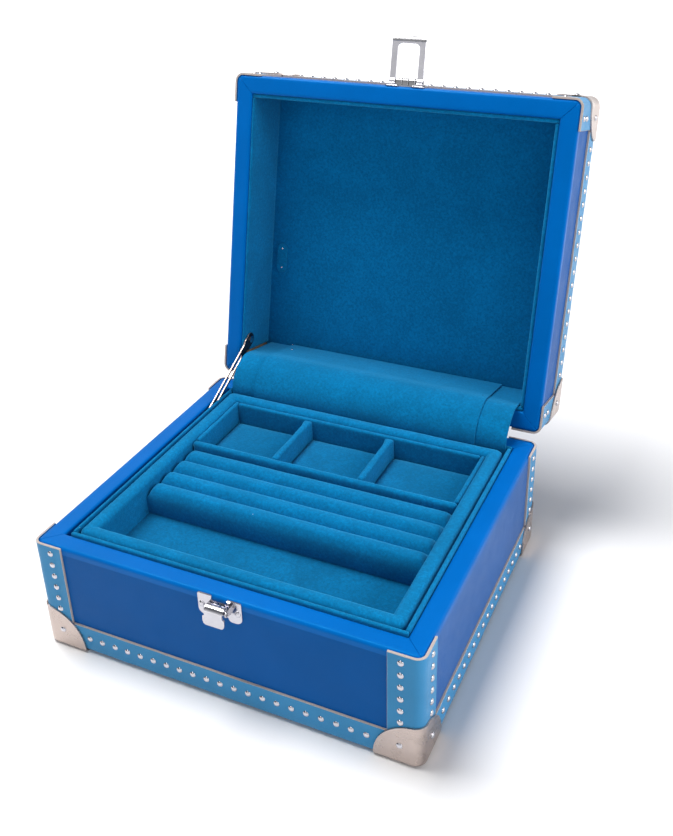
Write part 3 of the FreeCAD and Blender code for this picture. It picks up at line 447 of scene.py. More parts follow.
def rounded(corners, segments=6):
    """A closed outline whose corners (x, y, radius) are turned by arcs."""
    outline = []
    for i, (x, y, radius) in enumerate(corners):
        corner = Vector((x, y))
        before = (Vector(corners[i - 1][:2]) - corner).normalized()
        after = (Vector(corners[(i + 1) % len(corners)][:2]) - corner).normalized()
        half = before.angle(after) / 2
        centre = corner + (before + after).normalized() * (radius / math.sin(half))
        start = corner + before * (radius / math.tan(half)) - centre
        stop = corner + after * (radius / math.tan(half)) - centre
        first = math.atan2(start.y, start.x)
        turn = (math.atan2(stop.y, stop.x) - first + math.pi) % (2 * math.pi) - math.pi
        for k in range(segments + 1):
            angle = first + turn * k / segments
            outline.append((centre.x + radius * math.cos(angle), centre.y + radius * math.sin(angle)))
    return outline


def circle(x, y, radius, around=24):
    """A closed round outline."""
    turns = [2 * math.pi * k / around for k in range(around)]
    return [(x + radius * math.cos(turn), y + radius * math.sin(turn)) for turn in turns]


def plate(name, outline, thickness, place, materials, body, lid=False, holes=(), chamfer=0.14):
    """Sheet metal cut to an outline, with softened edges. place(u, v, t) gives the point in space."""
    loops = []
    for index, loop in enumerate([outline, *holes]):
        area = sum(a[0] * b[1] - b[0] * a[1] for a, b in zip(loop, loop[1:] + loop[:1]))
        loops.append(loop if (area > 0) == (index == 0) else loop[::-1])
    flat, inner, starts = [], [], []
    for loop in loops:
        starts.append(len(flat))
        for i, point in enumerate(loop):
            ahead = Vector(loop[(i + 1) % len(loop)]) - Vector(loop[i - 1])
            ahead.normalize()
            flat.append(point)
            inner.append((point[0] - ahead.y * chamfer, point[1] + ahead.x * chamfer))
    size = len(flat)
    layers = ((inner, 0.0), (flat, chamfer), (flat, thickness - chamfer), (inner, thickness))
    verts = [place(u, v, t) for layer, t in layers for u, v in layer]
    edge = len(materials) - 1
    faces = []
    for step in range(3):
        for start, loop in zip(starts, loops):
            for i in range(len(loop)):
                a, b = start + i, start + (i + 1) % len(loop)
                low, high = step * size, (step + 1) * size
                faces.append(((low + a, low + b, high + b, high + a), edge))
    solid = []
    for start, loop in zip(starts, loops):
        solid.append([Vector((u, v, 0.0)) for u, v in inner[start:start + len(loop)]])
    for triangle in tessellate_polygon(solid):
        faces.append((tuple(triangle), 0))
        faces.append((tuple(3 * size + i for i in reversed(triangle)), 0))
    return make(name, verts, faces, materials, body, lid, 35.0)


# ---------------------------------------------------------------- case skins
def crease(depth):
    """Sinks the mitre at each corner of a rim."""
    def wobble(p, k, count, inset, z):
        middle_of_arc = 4
        if k % (count // 4) == middle_of_arc and inset > 0.2:
            p.z += depth
        swell = 0.10 * noise.noise(Vector((p.x * 0.03, p.y * 0.03, 5.0)))
        p.z += swell if inset > 0.5 else 0.0
        return p
    return wobble


def rim_profile(crest, turn):
    """Binding over a rim, from low outside, over the crest, to low inside.

    turn is 1 for a rim that faces up and -1 for one that faces down."""
    points = [(0.0, crest - turn * BINDING_REACH)]
    points += [(0.0, crest - turn * 4.0), (0.0, crest - turn * 3.0)]
    outer = arc_points(2.0, crest - turn * 2.0, 2.0, 180, 90, 6)
    inner = arc_points(RIM_WIDE - 1.5, crest - turn * 1.5, 1.5, 90, 0, 5)
    if turn < 0:
        outer = [(x, 2 * (crest + 2.0) - z) for x, z in outer]
        inner = [(x, 2 * (crest + 1.5) - z) for x, z in inner]
    points += outer
    points += [(4.0, crest), (6.0, crest), (8.0, crest)]
    points += inner
    points += [(RIM_WIDE, crest - turn * 4.0), (RIM_WIDE, crest - turn * 8.0), (10.5, crest - turn * 8.0)]
    points += [(10.4, crest - turn * 0.9), (0.85, crest - turn * 0.9), (0.85, crest - turn * BINDING_REACH)]
    return points


def build_rims():
    for body, crest, turn in (("base", RIM, 1), ("lid", LID_RIM, -1)):
        rim = ring(body + "_rim", rim_profile(crest, turn), HALF_W, HALF_D, CORNER, [BINDING], body,
                   lid=body == "lid", wobble=crease(-0.35 * turn))
        stand_in(rim, body + "_rim_binding")


def strip_path(reach):
    """Plan of the leather round one corner at +X +Y, with outward normals."""
    points, normals = [], []
    for x in steps(HALF_W - reach, HALF_W - CORNER, 2.0)[:-1]:
        points.append((x, HALF_D))
        normals.append((0.0, 1.0))
    for k in range(9):
        angle = math.radians(90 - 90 * k / 8)
        nx, ny = math.cos(angle), math.sin(angle)
        points.append((HALF_W - CORNER + CORNER * nx, HALF_D - CORNER + CORNER * ny))
        normals.append((nx, ny))
    for y in steps(HALF_D - CORNER, HALF_D - reach, 2.0)[1:]:
        points.append((HALF_W, y))
        normals.append((1.0, 0.0))
    return points, normals


CORNERS = {"front_left": (-1, -1), "front_right": (1, -1), "back_left": (-1, 1), "back_right": (1, 1)}


def build_strips():
    points, normals = strip_path(STRIP_REACH)
    shells = {"base": steps(UNDER, RIM - 0.2, 3.0), "lid": steps(LID_RIM + 0.2, LID_TOP, 3.0)}
    for where, (sx, sy) in CORNERS.items():
        def place(u, v, t, sx=sx, sy=sy):
            return (sx * u, sy * v, t)
        for body, heights in shells.items():
            strip = band("%s_strip_%s" % (body, where), points, normals, heights, STRIP_THICK, place,
                         [LIGHT, EDGE], body, lid=body == "lid", uneven=0.18)
            stand_in(strip, "%s_corner_strip_%s" % (body, where))


def trim_path(face):
    """Section of an edge trim: down the face, round the lower edge and under."""
    points, normals = [], []
    for z in steps(TRIM_HIGH, UNDER + 1.0, 2.5)[:-1]:
        points.append((face, z))
        normals.append((1.0, 0.0))
    for k in range(5):
        angle = math.radians(-90 * k / 4)
        points.append((face - 1.0 + math.cos(angle), UNDER + 1.0 + math.sin(angle)))
        normals.append((math.cos(angle), math.sin(angle)))
    for u in steps(face - 1.0, face - TRIM_UNDER, 2.6)[1:]:
        points.append((u, UNDER))
        normals.append((0.0, -1.0))
    return points, normals


SIDES = {"front": (0, -1), "back": (0, 1), "left": (-1, 0), "right": (1, 0)}


def build_trims():
    for side, (ax, ay) in SIDES.items():
        face = HALF_W if ax else HALF_D
        half = (HALF_D if ax else HALF_W) - TRIM_END
        points, normals = trim_path(face)

        def place(u, v, t, ax=ax, ay=ay):
            return (ax * u + ay * t, ay * u - ax * t, v)

        def place_up(u, v, t, ax=ax, ay=ay):
            return (ax * u + ay * t, ay * u - ax * t, MIRROR_Z - v)

        for body, spot in (("base", place), ("lid", place_up)):
            trim = band("%s_trim_%s" % (body, side), points, normals, steps(-half, half, 4.0), TRIM_THICK,
                        spot, [LIGHT, EDGE], body, lid=body == "lid", uneven=0.22)
            stand_in(trim, "%s_edge_trim_%s" % (body, side))


# ---------------------------------------------------------------- rivets
# (radius, height) of a rivet head from its rim towards its crown
DOME = [(1.62, 0.0), (RIVET_RADIUS, 0.10), (1.70, 0.24), (1.52, 0.42), (1.25, 0.64), (0.92, 0.84),
        (0.5, 0.99)]
CROWN = 1.04


def rivet_set(name, seats, body, lid, scale=1.0):
    """Every rivet head of one body as one piece; seats are (point, outward)."""
    verts, faces = [], []
    around = 20
    for index, (point, outward) in enumerate(seats):
        outward = Vector(outward)
        side = outward.orthogonal().normalized()
        up = outward.cross(side)
        tilt = 0.05 * noise.noise(Vector((index * 1.7, 0.3, 2.0)))
        first = len(verts)
        for radius, height in DOME:
            radius, height = radius * scale, height * scale
            for k in range(around):
                angle = 2 * math.pi * k / around
                lift = height + tilt * radius * math.cos(angle) * (1 if height > 0.05 else 0)
                p = Vector(point) + side * (radius * math.cos(angle)) + up * (radius * math.sin(angle))
                verts.append(tuple(p + outward * max(lift, 0.0)))
        verts.append(tuple(Vector(point) + outward * CROWN * scale))
        crown = len(verts) - 1
        for a, b, c, d in grid_faces(len(DOME), around, wrap=True):
            faces.append((first + a, first + b, first + c, first + d))
        last = first + (len(DOME) - 1) * around
        for k in range(around):
            faces.append((last + k, last + (k + 1) % around, crown))
        faces.append(tuple(first + k for k in reversed(range(around))))
    return make(name, verts, faces, [NICKEL], body, lid, 60.0)


def on_face(side, along, grow, height):
    """A point on an upright face, and its outward direction."""
    ax, ay = SIDES[side]
    if ax:
        return (ax * (HALF_W + grow), along, height), (ax, 0, 0)
    return (along, ay * (HALF_D + grow), height), (0, ay, 0)


def seats(strip_heights, trim_z, cap_z, hinge_z, plate_z, flip):
    """Where the rivets of one shell sit; flip only varies their unevenness."""
    places = []
    for side in SIDES:
        half = HALF_D if SIDES[side][0] else HALF_W
        reach = half - CAP_REACH - RIVET_RADIUS - 1.0
        count = int(2 * reach / RIVET_PITCH)
        for i in range(count + 1):
            jitter = 0.35 * noise.noise(Vector((i * 3.1, len(side) * 1.3, flip)))
            along = (i - count / 2) * RIVET_PITCH + jitter
            places.append(on_face(side, along, TRIM_THICK, trim_z + 0.6 * jitter))
        for along in (STRIP_RIVET_IN - half, half - STRIP_RIVET_IN):
            for z in strip_heights:
                places.append(on_face(side, along, STRIP_THICK, z))
        for along in (CAP_RIVET_IN - half, half - CAP_RIVET_IN):
            places.append(on_face(side, along, 2.2, cap_z))
    for centre in (-60.0, 60.0):
        for offset in (-9.0, 0.0, 9.0):
            places.append(on_face("back", centre + offset, 1.2, hinge_z))
    for offset in (-10.2, 10.2):
        places.append(on_face("front", LATCH_X + offset, PLATE_SHEET, plate_z))
    return places


def build_rivets():
    trim_z, cap_z = UNDER + 8.6, UNDER + CAP_RIVET_IN
    heights = [RIM - 5.0 - STRIP_RIVET_PITCH * i for i in range(6)]
    base = seats(heights, trim_z, cap_z, RIM - 11.88, 62.2, 0.0)
    piece = rivet_set("base_rivet_heads", base, "base", False)
    stand_in(piece, "base_rivets")
    heights = [LID_RIM + 5.0 + STRIP_RIVET_PITCH * i for i in range(2)]
    lid = seats(heights, MIRROR_Z - trim_z, MIRROR_Z - cap_z, LID_RIM + 11.88, 76.6, 7.0)
    for sx, sy in CORNERS.values():
        lid.append(((sx * (HALF_W - CAP_RIVET_IN), sy * (HALF_D - CAP_RIVET_IN), MIRROR_Z), (0, 0, 1)))
    piece = rivet_set("lid_rivet_heads", lid, "lid", True)
    stand_in(piece, "lid_rivets")


# ---------------------------------------------------------------- suede walls
def soft_wall(name, x, y, z, body, lid=False, radius=1.2, pitch=3.0, swell=0.15, material=None, seed=0.0):
    """A suede-covered board: a box with rounded edges and a faintly uneven skin."""
    lows = (x[0], y[0], z[0])
    highs = (x[1], y[1], z[1])
    size = [h - l for l, h in zip(lows, highs)]
    radius = min(radius, *(s * 0.49 for s in size))
    axes = []
    for low, high in zip(lows, highs):
        inner = steps(low + radius, high - radius, pitch)
        bend = [low + radius * (1 - math.cos(math.pi / 2 * k / 3)) for k in range(3)]
        axes.append(bend + inner + [low + high - b for b in reversed(bend)])
    counts = [len(axis) for axis in axes]
    index, verts, faces = {}, [], []

    def vertex(key):
        if key not in index:
            p = Vector([axis[k] for axis, k in zip(axes, key)])
            core = Vector([min(max(c, l + radius), h - radius) for c, l, h in zip(p, lows, highs)])
            off = p - core
            if off.length > 1e-6:
                p = core + off.normalized() * radius
                bump = swell * noise.noise(p * 0.07 + Vector((seed, seed, seed)))
                p -= off.normalized() * abs(bump)
            index[key] = len(verts)
            verts.append(tuple(p))
        return index[key]

    for flat in (2, 1, 0):
        across, up = [axis for axis in range(3) if axis != flat]
        for i, j in itertools.product(range(counts[across] - 1), range(counts[up] - 1)):
            for level in (0, counts[flat] - 1):
                quad = []
                for di, dj in ((0, 0), (1, 0), (1, 1), (0, 1)):
                    key = [level, level, level]
                    key[across], key[up] = i + di, j + dj
                    quad.append(vertex(tuple(key)))
                inward = (level == 0) != (flat == 1)
                faces.append(tuple(reversed(quad)) if inward else tuple(quad))
    return make(name, verts, faces, [material or SUEDE], body, lid, 60.0)


def join(name, pieces):
    """Pieces of one body as one object."""
    with bpy.context.temp_override(active_object=pieces[0], selected_editable_objects=pieces,
                                   selected_objects=pieces, object=pieces[0]):
        bpy.ops.object.join()
    pieces[0].name = name
    return pieces[0]


LINER = {"left": (-95.6, -94.0), "right": (96.2, 98.6), "front": (-87.1, -84.7), "back": (84.7, 87.1)}


def build_liners():
    top, low = 70.2, 9.9
    parts = [
        soft_wall("liner_front", (-95.6, 98.6), LINER["front"], (low, top), "base", radius=1.1, seed=1.0),
        soft_wall("liner_back", (-95.6, 98.6), LINER["back"], (low, top), "base", radius=1.1, seed=2.0),
        soft_wall("liner_left", LINER["left"], (-84.7, 84.7), (low, top), "base", radius=0.75, seed=3.0),
        soft_wall("liner_right", LINER["right"], (-84.7, 84.7), (low, top), "base", radius=1.1, seed=4.0)]
    liner = join("base_liner_walls", parts)
    stand_in(liner, "base_liner")
    top, low = LID_CEILING + 1.1, 70.9
    parts = [
        soft_wall("lid_wall_front", (-98.8, 98.8), (-87.3, -84.9), (low, top), "lid", True, 1.1, seed=5.0),
        soft_wall("lid_wall_back", (-95.6, 98.8), (84.9, 87.3), (low, top), "lid", True, 1.1, seed=6.0),
        soft_wall("lid_wall_left", (-98.8, -97.2), (-84.9, 84.9), (low, top), "lid", True, 0.75, seed=7.0),
        soft_wall("lid_wall_right", (96.4, 98.8), (-84.9, 84.9), (low, top), "lid", True, 1.1, seed=8.0)]
    liner = join("lid_liner_walls", parts)
    stand_in(liner, "lid_liner")
    panel = soft_wall("lid_padded_panel", (-98.6, 98.6), (-87.1, 87.1), (LID_CEILING, 109.5),
                      "lid", True, 0.8, pitch=4.0, material=SUEDE_PANEL, seed=9.0)
    stand_in(panel, "lid_panel")


# ---------------------------------------------------------------- tray
TRAY_X, TRAY_Y = (-93.5, 94.9), (-83.7, 82.0)
TRAY_TOP, TRAY_LOW, TRAY_FLOOR = 70.0, 46.5, 49.1
TRAY_WALL = 8.6
LINING_TOP = 68.5
HOLD_X, HOLD_Y = (-84.9, 86.3), (-75.1, 73.4)
WELL_X, WELL_BACK = (-81.9, 83.3), 70.4
PARTITION = (18.2, 22.7)
DIVIDERS, DIVIDER_HALF = (-30.0, 26.0), 2.1
PAD_TOP = 57.0


def pad_wobble(amount, scale, seed):
    """Slack in a padded wall: soft dips and short puckers."""
    def wobble(p, k, count, inset, z):
        if z > TRAY_FLOOR + 1:
            soft = noise.noise(Vector((p.x * scale, p.y * scale, seed)))
            fine = noise.noise(Vector((p.x * scale * 5, p.y * scale * 5, seed + 9)))
            p.z += amount * soft + amount * 0.35 * fine
        return p
    return wobble


def flare(wall, centre, start, reach, amount):
    """Widens a divider towards its back end, where its cover is glued to the wall."""
    for vertex in wall.data.vertices:
        far = (vertex.co.y / MM - start) / reach
        if far > 0:
            side = 1 if vertex.co.x / MM > centre else -1
            vertex.co.x += side * amount * far * far * MM
    return wall


def build_tray():
    cx, cy = (TRAY_X[0] + TRAY_X[1]) / 2, (TRAY_Y[0] + TRAY_Y[1]) / 2
    hx, hy = (TRAY_X[1] - TRAY_X[0]) / 2, (TRAY_Y[1] - TRAY_Y[0]) / 2
    top = TRAY_TOP
    profile = [(0.0, TRAY_FLOOR), (0.0, 55.0), (0.0, 62.0)]
    profile += arc_points(3.2, top - 3.2, 3.2, 180, 98, 7)
    profile += [(TRAY_WALL / 2, top + 0.12)]
    profile += arc_points(TRAY_WALL - 3.2, top - 3.2, 3.2, 82, 0, 7)
    profile += [(TRAY_WALL, 62.0), (TRAY_WALL, TRAY_FLOOR)]
    outer = ring("tray_padded_wall", profile, hx, hy, 4.0, [SUEDE], "tray", centre=(cx, cy), side=64,
                 wobble=pad_wobble(0.22, 0.035, 3.0), angle=70.0)
    stand_in(outer, "tray_frame")
    low = TRAY_FLOOR
    side_y = (PARTITION[1], HOLD_Y[1])
    parts = [
        soft_wall("tray_lining_left", (HOLD_X[0], WELL_X[0]), side_y, (low, LINING_TOP), "tray", radius=1.4,
                  pitch=2.0, swell=0.35, seed=41.0),
        soft_wall("tray_lining_right", (WELL_X[1], HOLD_X[1]), side_y, (low, LINING_TOP), "tray",
                  radius=1.4, pitch=2.0, swell=0.35, seed=42.0),
        soft_wall("tray_lining_back", WELL_X, (WELL_BACK, HOLD_Y[1]), (low, LINING_TOP), "tray", radius=1.4,
                  pitch=2.0, swell=0.35, seed=43.0)]
    lining = join("tray_inner_walls", parts)
    stand_in(lining, "tray_lining")
    parts = [soft_wall("tray_long_partition", HOLD_X, PARTITION, (low, LINING_TOP), "tray", radius=2.1,
                       pitch=2.0, swell=0.4, seed=11.0)]
    for i, x in enumerate(DIVIDERS):
        wall = soft_wall("tray_divider_%d" % i, (x - DIVIDER_HALF, x + DIVIDER_HALF),
                         (PARTITION[1], WELL_BACK),
                         (low, LINING_TOP - 0.2), "tray", radius=1.9, pitch=2.0, swell=0.4, seed=12.0 + i)
        parts.append(flare(wall, x, WELL_BACK - 9.0, 9.0, 1.5))
    walls = join("tray_partition_walls", parts)
    stand_in(walls, "tray_partitions")
    # The floor skin takes the suede darkened with painted shade.
    floor = soft_wall("tray_floor_skin", TRAY_X, TRAY_Y, (TRAY_LOW, TRAY_FLOOR), "tray", radius=0.8,
                      pitch=5.0, material=SUEDE_FLOOR_PAINTED_SHADE, seed=15.0)
    stand_in(floor, "tray_floor")
    build_pads()
    build_rolls()


def build_pads():
    """Padded floors of the three back compartments."""
    lefts = [WELL_X[0]] + [x + DIVIDER_HALF for x in DIVIDERS]
    rights = [x - DIVIDER_HALF for x in DIVIDERS] + [WELL_X[1]]
    front, back = PARTITION[1], WELL_BACK
    parts = []
    for i, (x0, x1) in enumerate(zip(lefts, rights)):
        verts = []
        rows, columns = 25, 29
        for r in range(rows):
            for c in range(columns):
                u, v = c / (columns - 1), r / (rows - 1)
                x = x0 + 0.3 + (x1 - x0 - 0.6) * u
                y = front + 0.3 + (back - front - 0.6) * v
                edge = min(x - x0, x1 - x, y - front, back - y)
                crown = 1 - math.exp(-edge / 3.0)
                dip = 0.35 * noise.noise(Vector((x * 0.05, y * 0.05, 21.0)))
                verts.append((x, y, PAD_TOP - 3.3 + 3.3 * crown + dip * crown))
        faces = grid_faces(rows, columns)
        border = border_of(rows, columns)
        base = len(verts)
        verts += [(verts[b][0], verts[b][1], TRAY_FLOOR) for b in border]
        count = len(border)
        for k, b in enumerate(border):
            faces.append((base + k, base + (k + 1) % count, border[(k + 1) % count], b))
        faces.append(tuple(base + k for k in reversed(range(count))))
        # Each compartment floor takes the suede darkened with painted shade.
        parts.append(make("compartment_floor_%d" % i, verts, faces, [SUEDE_FLOOR_PAINTED_SHADE], "tray", flat_below=60.0))
    pads = join("compartment_floors", parts)
    stand_in(pads, "tray_compartment_pads")


ROLL_PITCH, ROLL_CREST, ROLL_SAG = 12.7, 66.4, 4.4
ROLL_FLANGE, ROLL_END = 61.0, 4.6


def roll_height(y):
    """Height of the ring rolls' skin across the rolls."""
    local = ((PARTITION[0] - y) / ROLL_PITCH) % 1.0 - 0.5
    return ROLL_CREST - ROLL_SAG * (abs(local) * 2) ** 2.6


def build_rolls():
    """Four foam rolls under one skin, tucked down between them and rounded at their ends."""
    front, back = PARTITION[0] - 4 * ROLL_PITCH, PARTITION[0]
    section = [(front + 0.9, TRAY_FLOOR), (front + 0.5, 51.0), (front, 55.0), (front + 0.1, 58.5)]
    section += [(front + 0.4, 60.8), (front + 1.0, 62.6), (front + 1.9, 64.1)]
    for y in steps(front + 2.9, back - 0.05, 0.5):
        section.append((y, roll_height(y)))
    section += [(back, TRAY_FLOOR)]
    left, right = HOLD_X[0] + 0.2, HOLD_X[1] - 0.2
    bend = [ROLL_END * (1 - math.cos(math.pi / 2 * k / 6)) for k in range(7)]
    xs = [left] + [left + 0.6 + b for b in bend]
    xs += steps(left + ROLL_END + 2.0, right - ROLL_END - 2.0, 1.6)
    xs += [right - 0.6 - b for b in reversed(bend)] + [right]
    verts = []
    for x in xs:
        end = min(x - xs[0], xs[-1] - x) - 0.6
        full = 0.0 if end <= 0 else 1.0
        if 0 < end < ROLL_END:
            full = math.sqrt(1 - (1 - end / ROLL_END) ** 2)
        for y, z in section:
            ripple = 0.26 * noise.noise(Vector((x * 0.045, y * 0.22, 31.0)))
            ripple += 0.08 * noise.noise(Vector((x * 0.3, y * 0.3, 33.0)))
            if z > ROLL_FLANGE:
                z = ROLL_FLANGE + (z - ROLL_FLANGE + ripple) * full
            verts.append((x, y, z))
    count = len(section)
    faces = grid_faces(len(xs), count, wrap=True)
    faces.append(tuple(range(count)))
    last = (len(xs) - 1) * count
    faces.append(tuple(last + k for k in reversed(range(count))))
    rolls = make("ring_roll_pad", verts, faces, [SUEDE], "tray", flat_below=75.0)
    stand_in(rolls, "ring_rolls")


# ---------------------------------------------------------------- gusset
def opened(y, z):
    p = OPEN @ Vector((0, y, z))
    return p.y, p.z


def gusset_path():
    """The cloth's run in YZ, from behind the tray, over the rims, onto the lid wall."""
    wall = 84.7
    near = opened(84.9, 71.6)
    far = opened(84.9, 104.0)
    points = [(wall, 52.0), (wall, 60.0), (wall, 67.0), (wall, 71.0),
              (wall + 0.7, 74.2), (wall + 3.2, 78.6)]
    points += [(wall + 7.6, 82.8), (wall + 13.0, 85.6), (wall + 18.0, 86.9), (near[0] - 0.6, near[1] + 0.5)]
    for k in range(1, 7):
        t = k / 6
        points.append((near[0] + (far[0] - near[0]) * t, near[1] + (far[1] - near[1]) * t))
    return points


def smooth_path(points, pitch):
    """A Catmull-Rom run through points, sampled at a pitch."""
    result = []
    for i in range(len(points) - 1):
        p0 = points[max(i - 1, 0)]
        p1, p2 = points[i], points[i + 1]
        p3 = points[min(i + 2, len(points) - 1)]
        count = max(1, round(math.dist(p1, p2) / pitch))
        for k in range(count):
            t = k / count
            result.append(tuple(0.5 * (2 * b + (c - a) * t + (2 * a - 5 * b + 4 * c - d) * t * t
                                       + (3 * b - a - 3 * c + d) * t ** 3)
                                for a, b, c, d in zip(p0, p1, p2, p3)))
    result.append(points[-1])
    return result


def cloth_sheet(name, x_range, lift, thickness, seed):
    """A sheet that follows the gusset's run, with soft folds across its free span."""
    path = smooth_path(gusset_path(), 1.5)
    count = len(path)
    xs = steps(x_range[0], x_range[1], 2.0)
    normals, run = [], [0.0]
    for i in range(count):
        a, b = path[max(i - 1, 0)], path[min(i + 1, count - 1)]
        dy, dz = b[0] - a[0], b[1] - a[1]
        length = math.hypot(dy, dz)
        normals.append((-dz / length, dy / length))
        if i:
            run.append(run[-1] + math.dist(path[i], path[i - 1]))
    verts = []
    for side in (0, 1):
        for i, ((y, z), (ny, nz)) in enumerate(zip(path, normals)):
            free = math.exp(-((run[i] - 32.0) / 13.0) ** 2)
            for x in xs:
                fold = 0.55 * noise.noise(Vector((x * 0.022, run[i] * 0.03, seed)))
                fold += 0.30 * noise.noise(Vector((x * 0.07, run[i] * 0.05, seed + 5)))
                fold = max(fold + 0.25, 0.0) * free * 1.6
                skin = 0.06 * noise.noise(Vector((x * 0.2, run[i] * 0.2, seed + 8)))
                off = lift + side * thickness + fold + skin
                verts.append((x, y + ny * off, z + nz * off))
    faces = shell_faces(count, len(xs))
    piece = make(name, verts, faces, [CLOTH], None, flat_below=60.0)
    return piece, run[-1]


def build_gusset():
    start, end = (0, 88.0 * MM, 76.0 * MM), (0, 106.0 * MM, 85.0 * MM)
    cloths = (("gusset_cloth", "gusset_lining", (-93.0, 95.2), 0.2),
              ("gusset_top_cloth", "gusset_overlay", (-76.0, 76.0), 1.35))
    for name, node, x_range, lift in cloths:
        piece, length = cloth_sheet(name, x_range, lift, 0.9, seed=41.0)
        stand_in(piece, node)
        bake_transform(piece)
        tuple(start)
        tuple(end)


# ---------------------------------------------------------------- latch and stay
def wings(height, top, low):
    """Outline of a latch plate: two rounded lobes with a notch at the rim and one at the far edge."""
    return rounded([(-12.5, 0.0, 1.2), (-12.5, height, 3.6), (-4.7, height, 2.2), (-4.7, height - low, 0.7),
                    (4.7, height - low, 0.7), (4.7, height, 2.2), (12.5, height, 3.6), (12.5, 0.0, 1.2),
                    (4.3, 0.0, 0.8), (4.3, top, 0.6), (-4.3, top, 0.6), (-4.3, 0.0, 0.8)])


def build_catch():
    def face(u, v, t):
        return (LATCH_X + u, -HALF_D - t, RIM - v)

    parts = [plate("catch_plate_wings", wings(13.4, 2.9, 2.6), PLATE_SHEET, face, [NICKEL], "base")]
    for side in (-1, 1):
        def ear(a, z, t, side=side):
            return (LATCH_X + side * (5.3 + t), -HALF_D - a, CATCH_Z + z)
        outline = rounded([(0.6, -3.0, 0.3), (5.65, -1.4, 1.3), (5.65, 1.4, 1.3), (0.6, 1.4, 0.3)])
        parts.append(plate("catch_ear", outline, EAR_SHEET, ear, [NICKEL], "base",
                           holes=[circle(CATCH_OUT, 0.0, 0.9)]))
    catch = join("catch_wings", parts)
    stand_in(catch, "catch_plate")
    build_lever()


def build_lever():
    """A curled lever: hooked over at the top, with a nib cut in the hook, and a thumb tongue below."""
    curl, sheet, last = 3.2, 0.9, 98.0
    bend_rows, tongue_rows, columns = 16, 12, 21
    verts = []
    for lift in (0.0, -sheet):
        for i in range(bend_rows + tongue_rows + 1):
            for j in range(columns):
                c = 2 * j / (columns - 1) - 1
                if i <= bend_rows:
                    half = 5.05
                    first = -72.0 + 34.0 * math.exp(-(c * half / 2.3) ** 4)
                    angle = math.radians(first + (last - first) * i / bend_rows)
                    out, up = math.sin(angle), math.cos(angle)
                    a, z = (curl + lift) * out, (curl + lift) * up
                else:
                    t = (i - bend_rows) / tongue_rows
                    half = 5.05 + 1.15 * min(1.0, max(0.0, (t - 0.18) / 0.22)) ** 1.5
                    u = abs(c * half)
                    corner = max(0.0, u - (half - 2.2))
                    length = 6.9 - (2.2 - math.sqrt(max(0.0, 2.2 ** 2 - corner ** 2)))
                    run = t * length
                    root = math.radians(last)
                    flat = min(run, 1.5)
                    a = curl * math.sin(root) + flat * math.cos(root) + (run - flat) * 0.07
                    z = curl * math.cos(root) - flat * math.sin(root) - (run - flat) * 0.997
                    a += lift
                verts.append((LATCH_X + c * half, -HALF_D - CATCH_OUT - a, CATCH_Z + z))
    faces = shell_faces(bend_rows + tongue_rows + 1, columns)
    lever = make("catch_thumb_lever", verts, faces, [NICKEL], "catch", flat_below=35.0)
    stand_in(lever, "catch_lever")


def build_hasp():
    def face(u, v, t):
        return (LATCH_X + u, -HALF_D - t, LID_RIM + 0.3 + v)

    parts = [plate("hasp_plate_wings", wings(8.7, 1.7, 1.6), PLATE_SHEET, face, [NICKEL], "lid", lid=True)]
    knuckle = rounded([(0.4, -1.9, 0.3), (4.9, -1.9, 1.88), (4.9, 1.9, 1.88), (0.4, 1.9, 0.3)])
    for start, stop in ((-6.2, -2.2), (-1.8, 1.8), (2.2, 6.2)):
        def block(a, z, t, start=start):
            return (LATCH_X + start + t, -HALF_D - a, HASP_Z + z)
        parts.append(plate("hasp_knuckle", knuckle, stop - start, block, [STEEL], "lid", lid=True))
    hasp = join("hasp_wings", parts)
    stand_in(hasp, "hasp_plate")

    axis_y = -HALF_D - HASP_OUT

    def flat(u, w, t):
        return (LATCH_X + u, axis_y - w, HASP_Z - 0.5 + t)

    outline = rounded([(-10.7, 1.3, 0.2), (-6.9, 1.3, 0.2), (-6.9, 21.8, 2.6), (6.9, 21.8, 2.6),
                       (6.9, 1.3, 0.2), (10.7, 1.3, 0.2), (10.7, 24.3, 1.8), (-10.7, 24.3, 1.8)])
    parts = [plate("hasp_loop_frame", outline, 1.0, flat, [NICKEL], "hasp", lid=True)]
    for side in (-1, 1):
        def eye(a, z, t, side=side):
            return (LATCH_X + side * (6.9 + t), axis_y - a, HASP_Z + z)
        parts.append(plate("hasp_eye", circle(0.0, 0.0, 1.9), 3.8, eye, [NICKEL], "hasp", lid=True,
                           holes=[circle(0.0, 0.0, 0.9)]))
    path = [(23.3, 0.35), (24.4, 0.40), (25.0, 0.62), (25.6, 1.10), (25.95, 1.75), (26.1, 2.4)]
    normals = [(0.0, 1.0), (-0.10, 0.99), (-0.35, 0.94), (-0.70, 0.71), (-0.92, 0.38), (-1.0, 0.10)]

    def lip(w, z, t):
        return (LATCH_X + t, axis_y - w, HASP_Z + z)

    parts.append(band("hasp_lip", path, normals, steps(-7.8, 7.8, 1.3), 0.8, lip, [NICKEL, NICKEL], "hasp",
                      lid=True, chamfer=0.2))

    def raised(u, w, t):
        return flat(u, w, t - 0.15)

    # A dark steel band laid over the bent top of the loop: painted shade standing in for the shadow in the
    # fold.
    fold = rounded([(-10.8, 23.0, 0.6), (10.8, 23.0, 0.6), (10.8, 24.5, 0.6), (-10.8, 24.5, 0.6)])
    parts.append(plate("hasp_fold_painted_shade", fold, 1.3, raised, [STEEL], "hasp", lid=True))
    loop = join("hasp_loop_with_lip", parts)
    stand_in(loop, "hasp_loop")


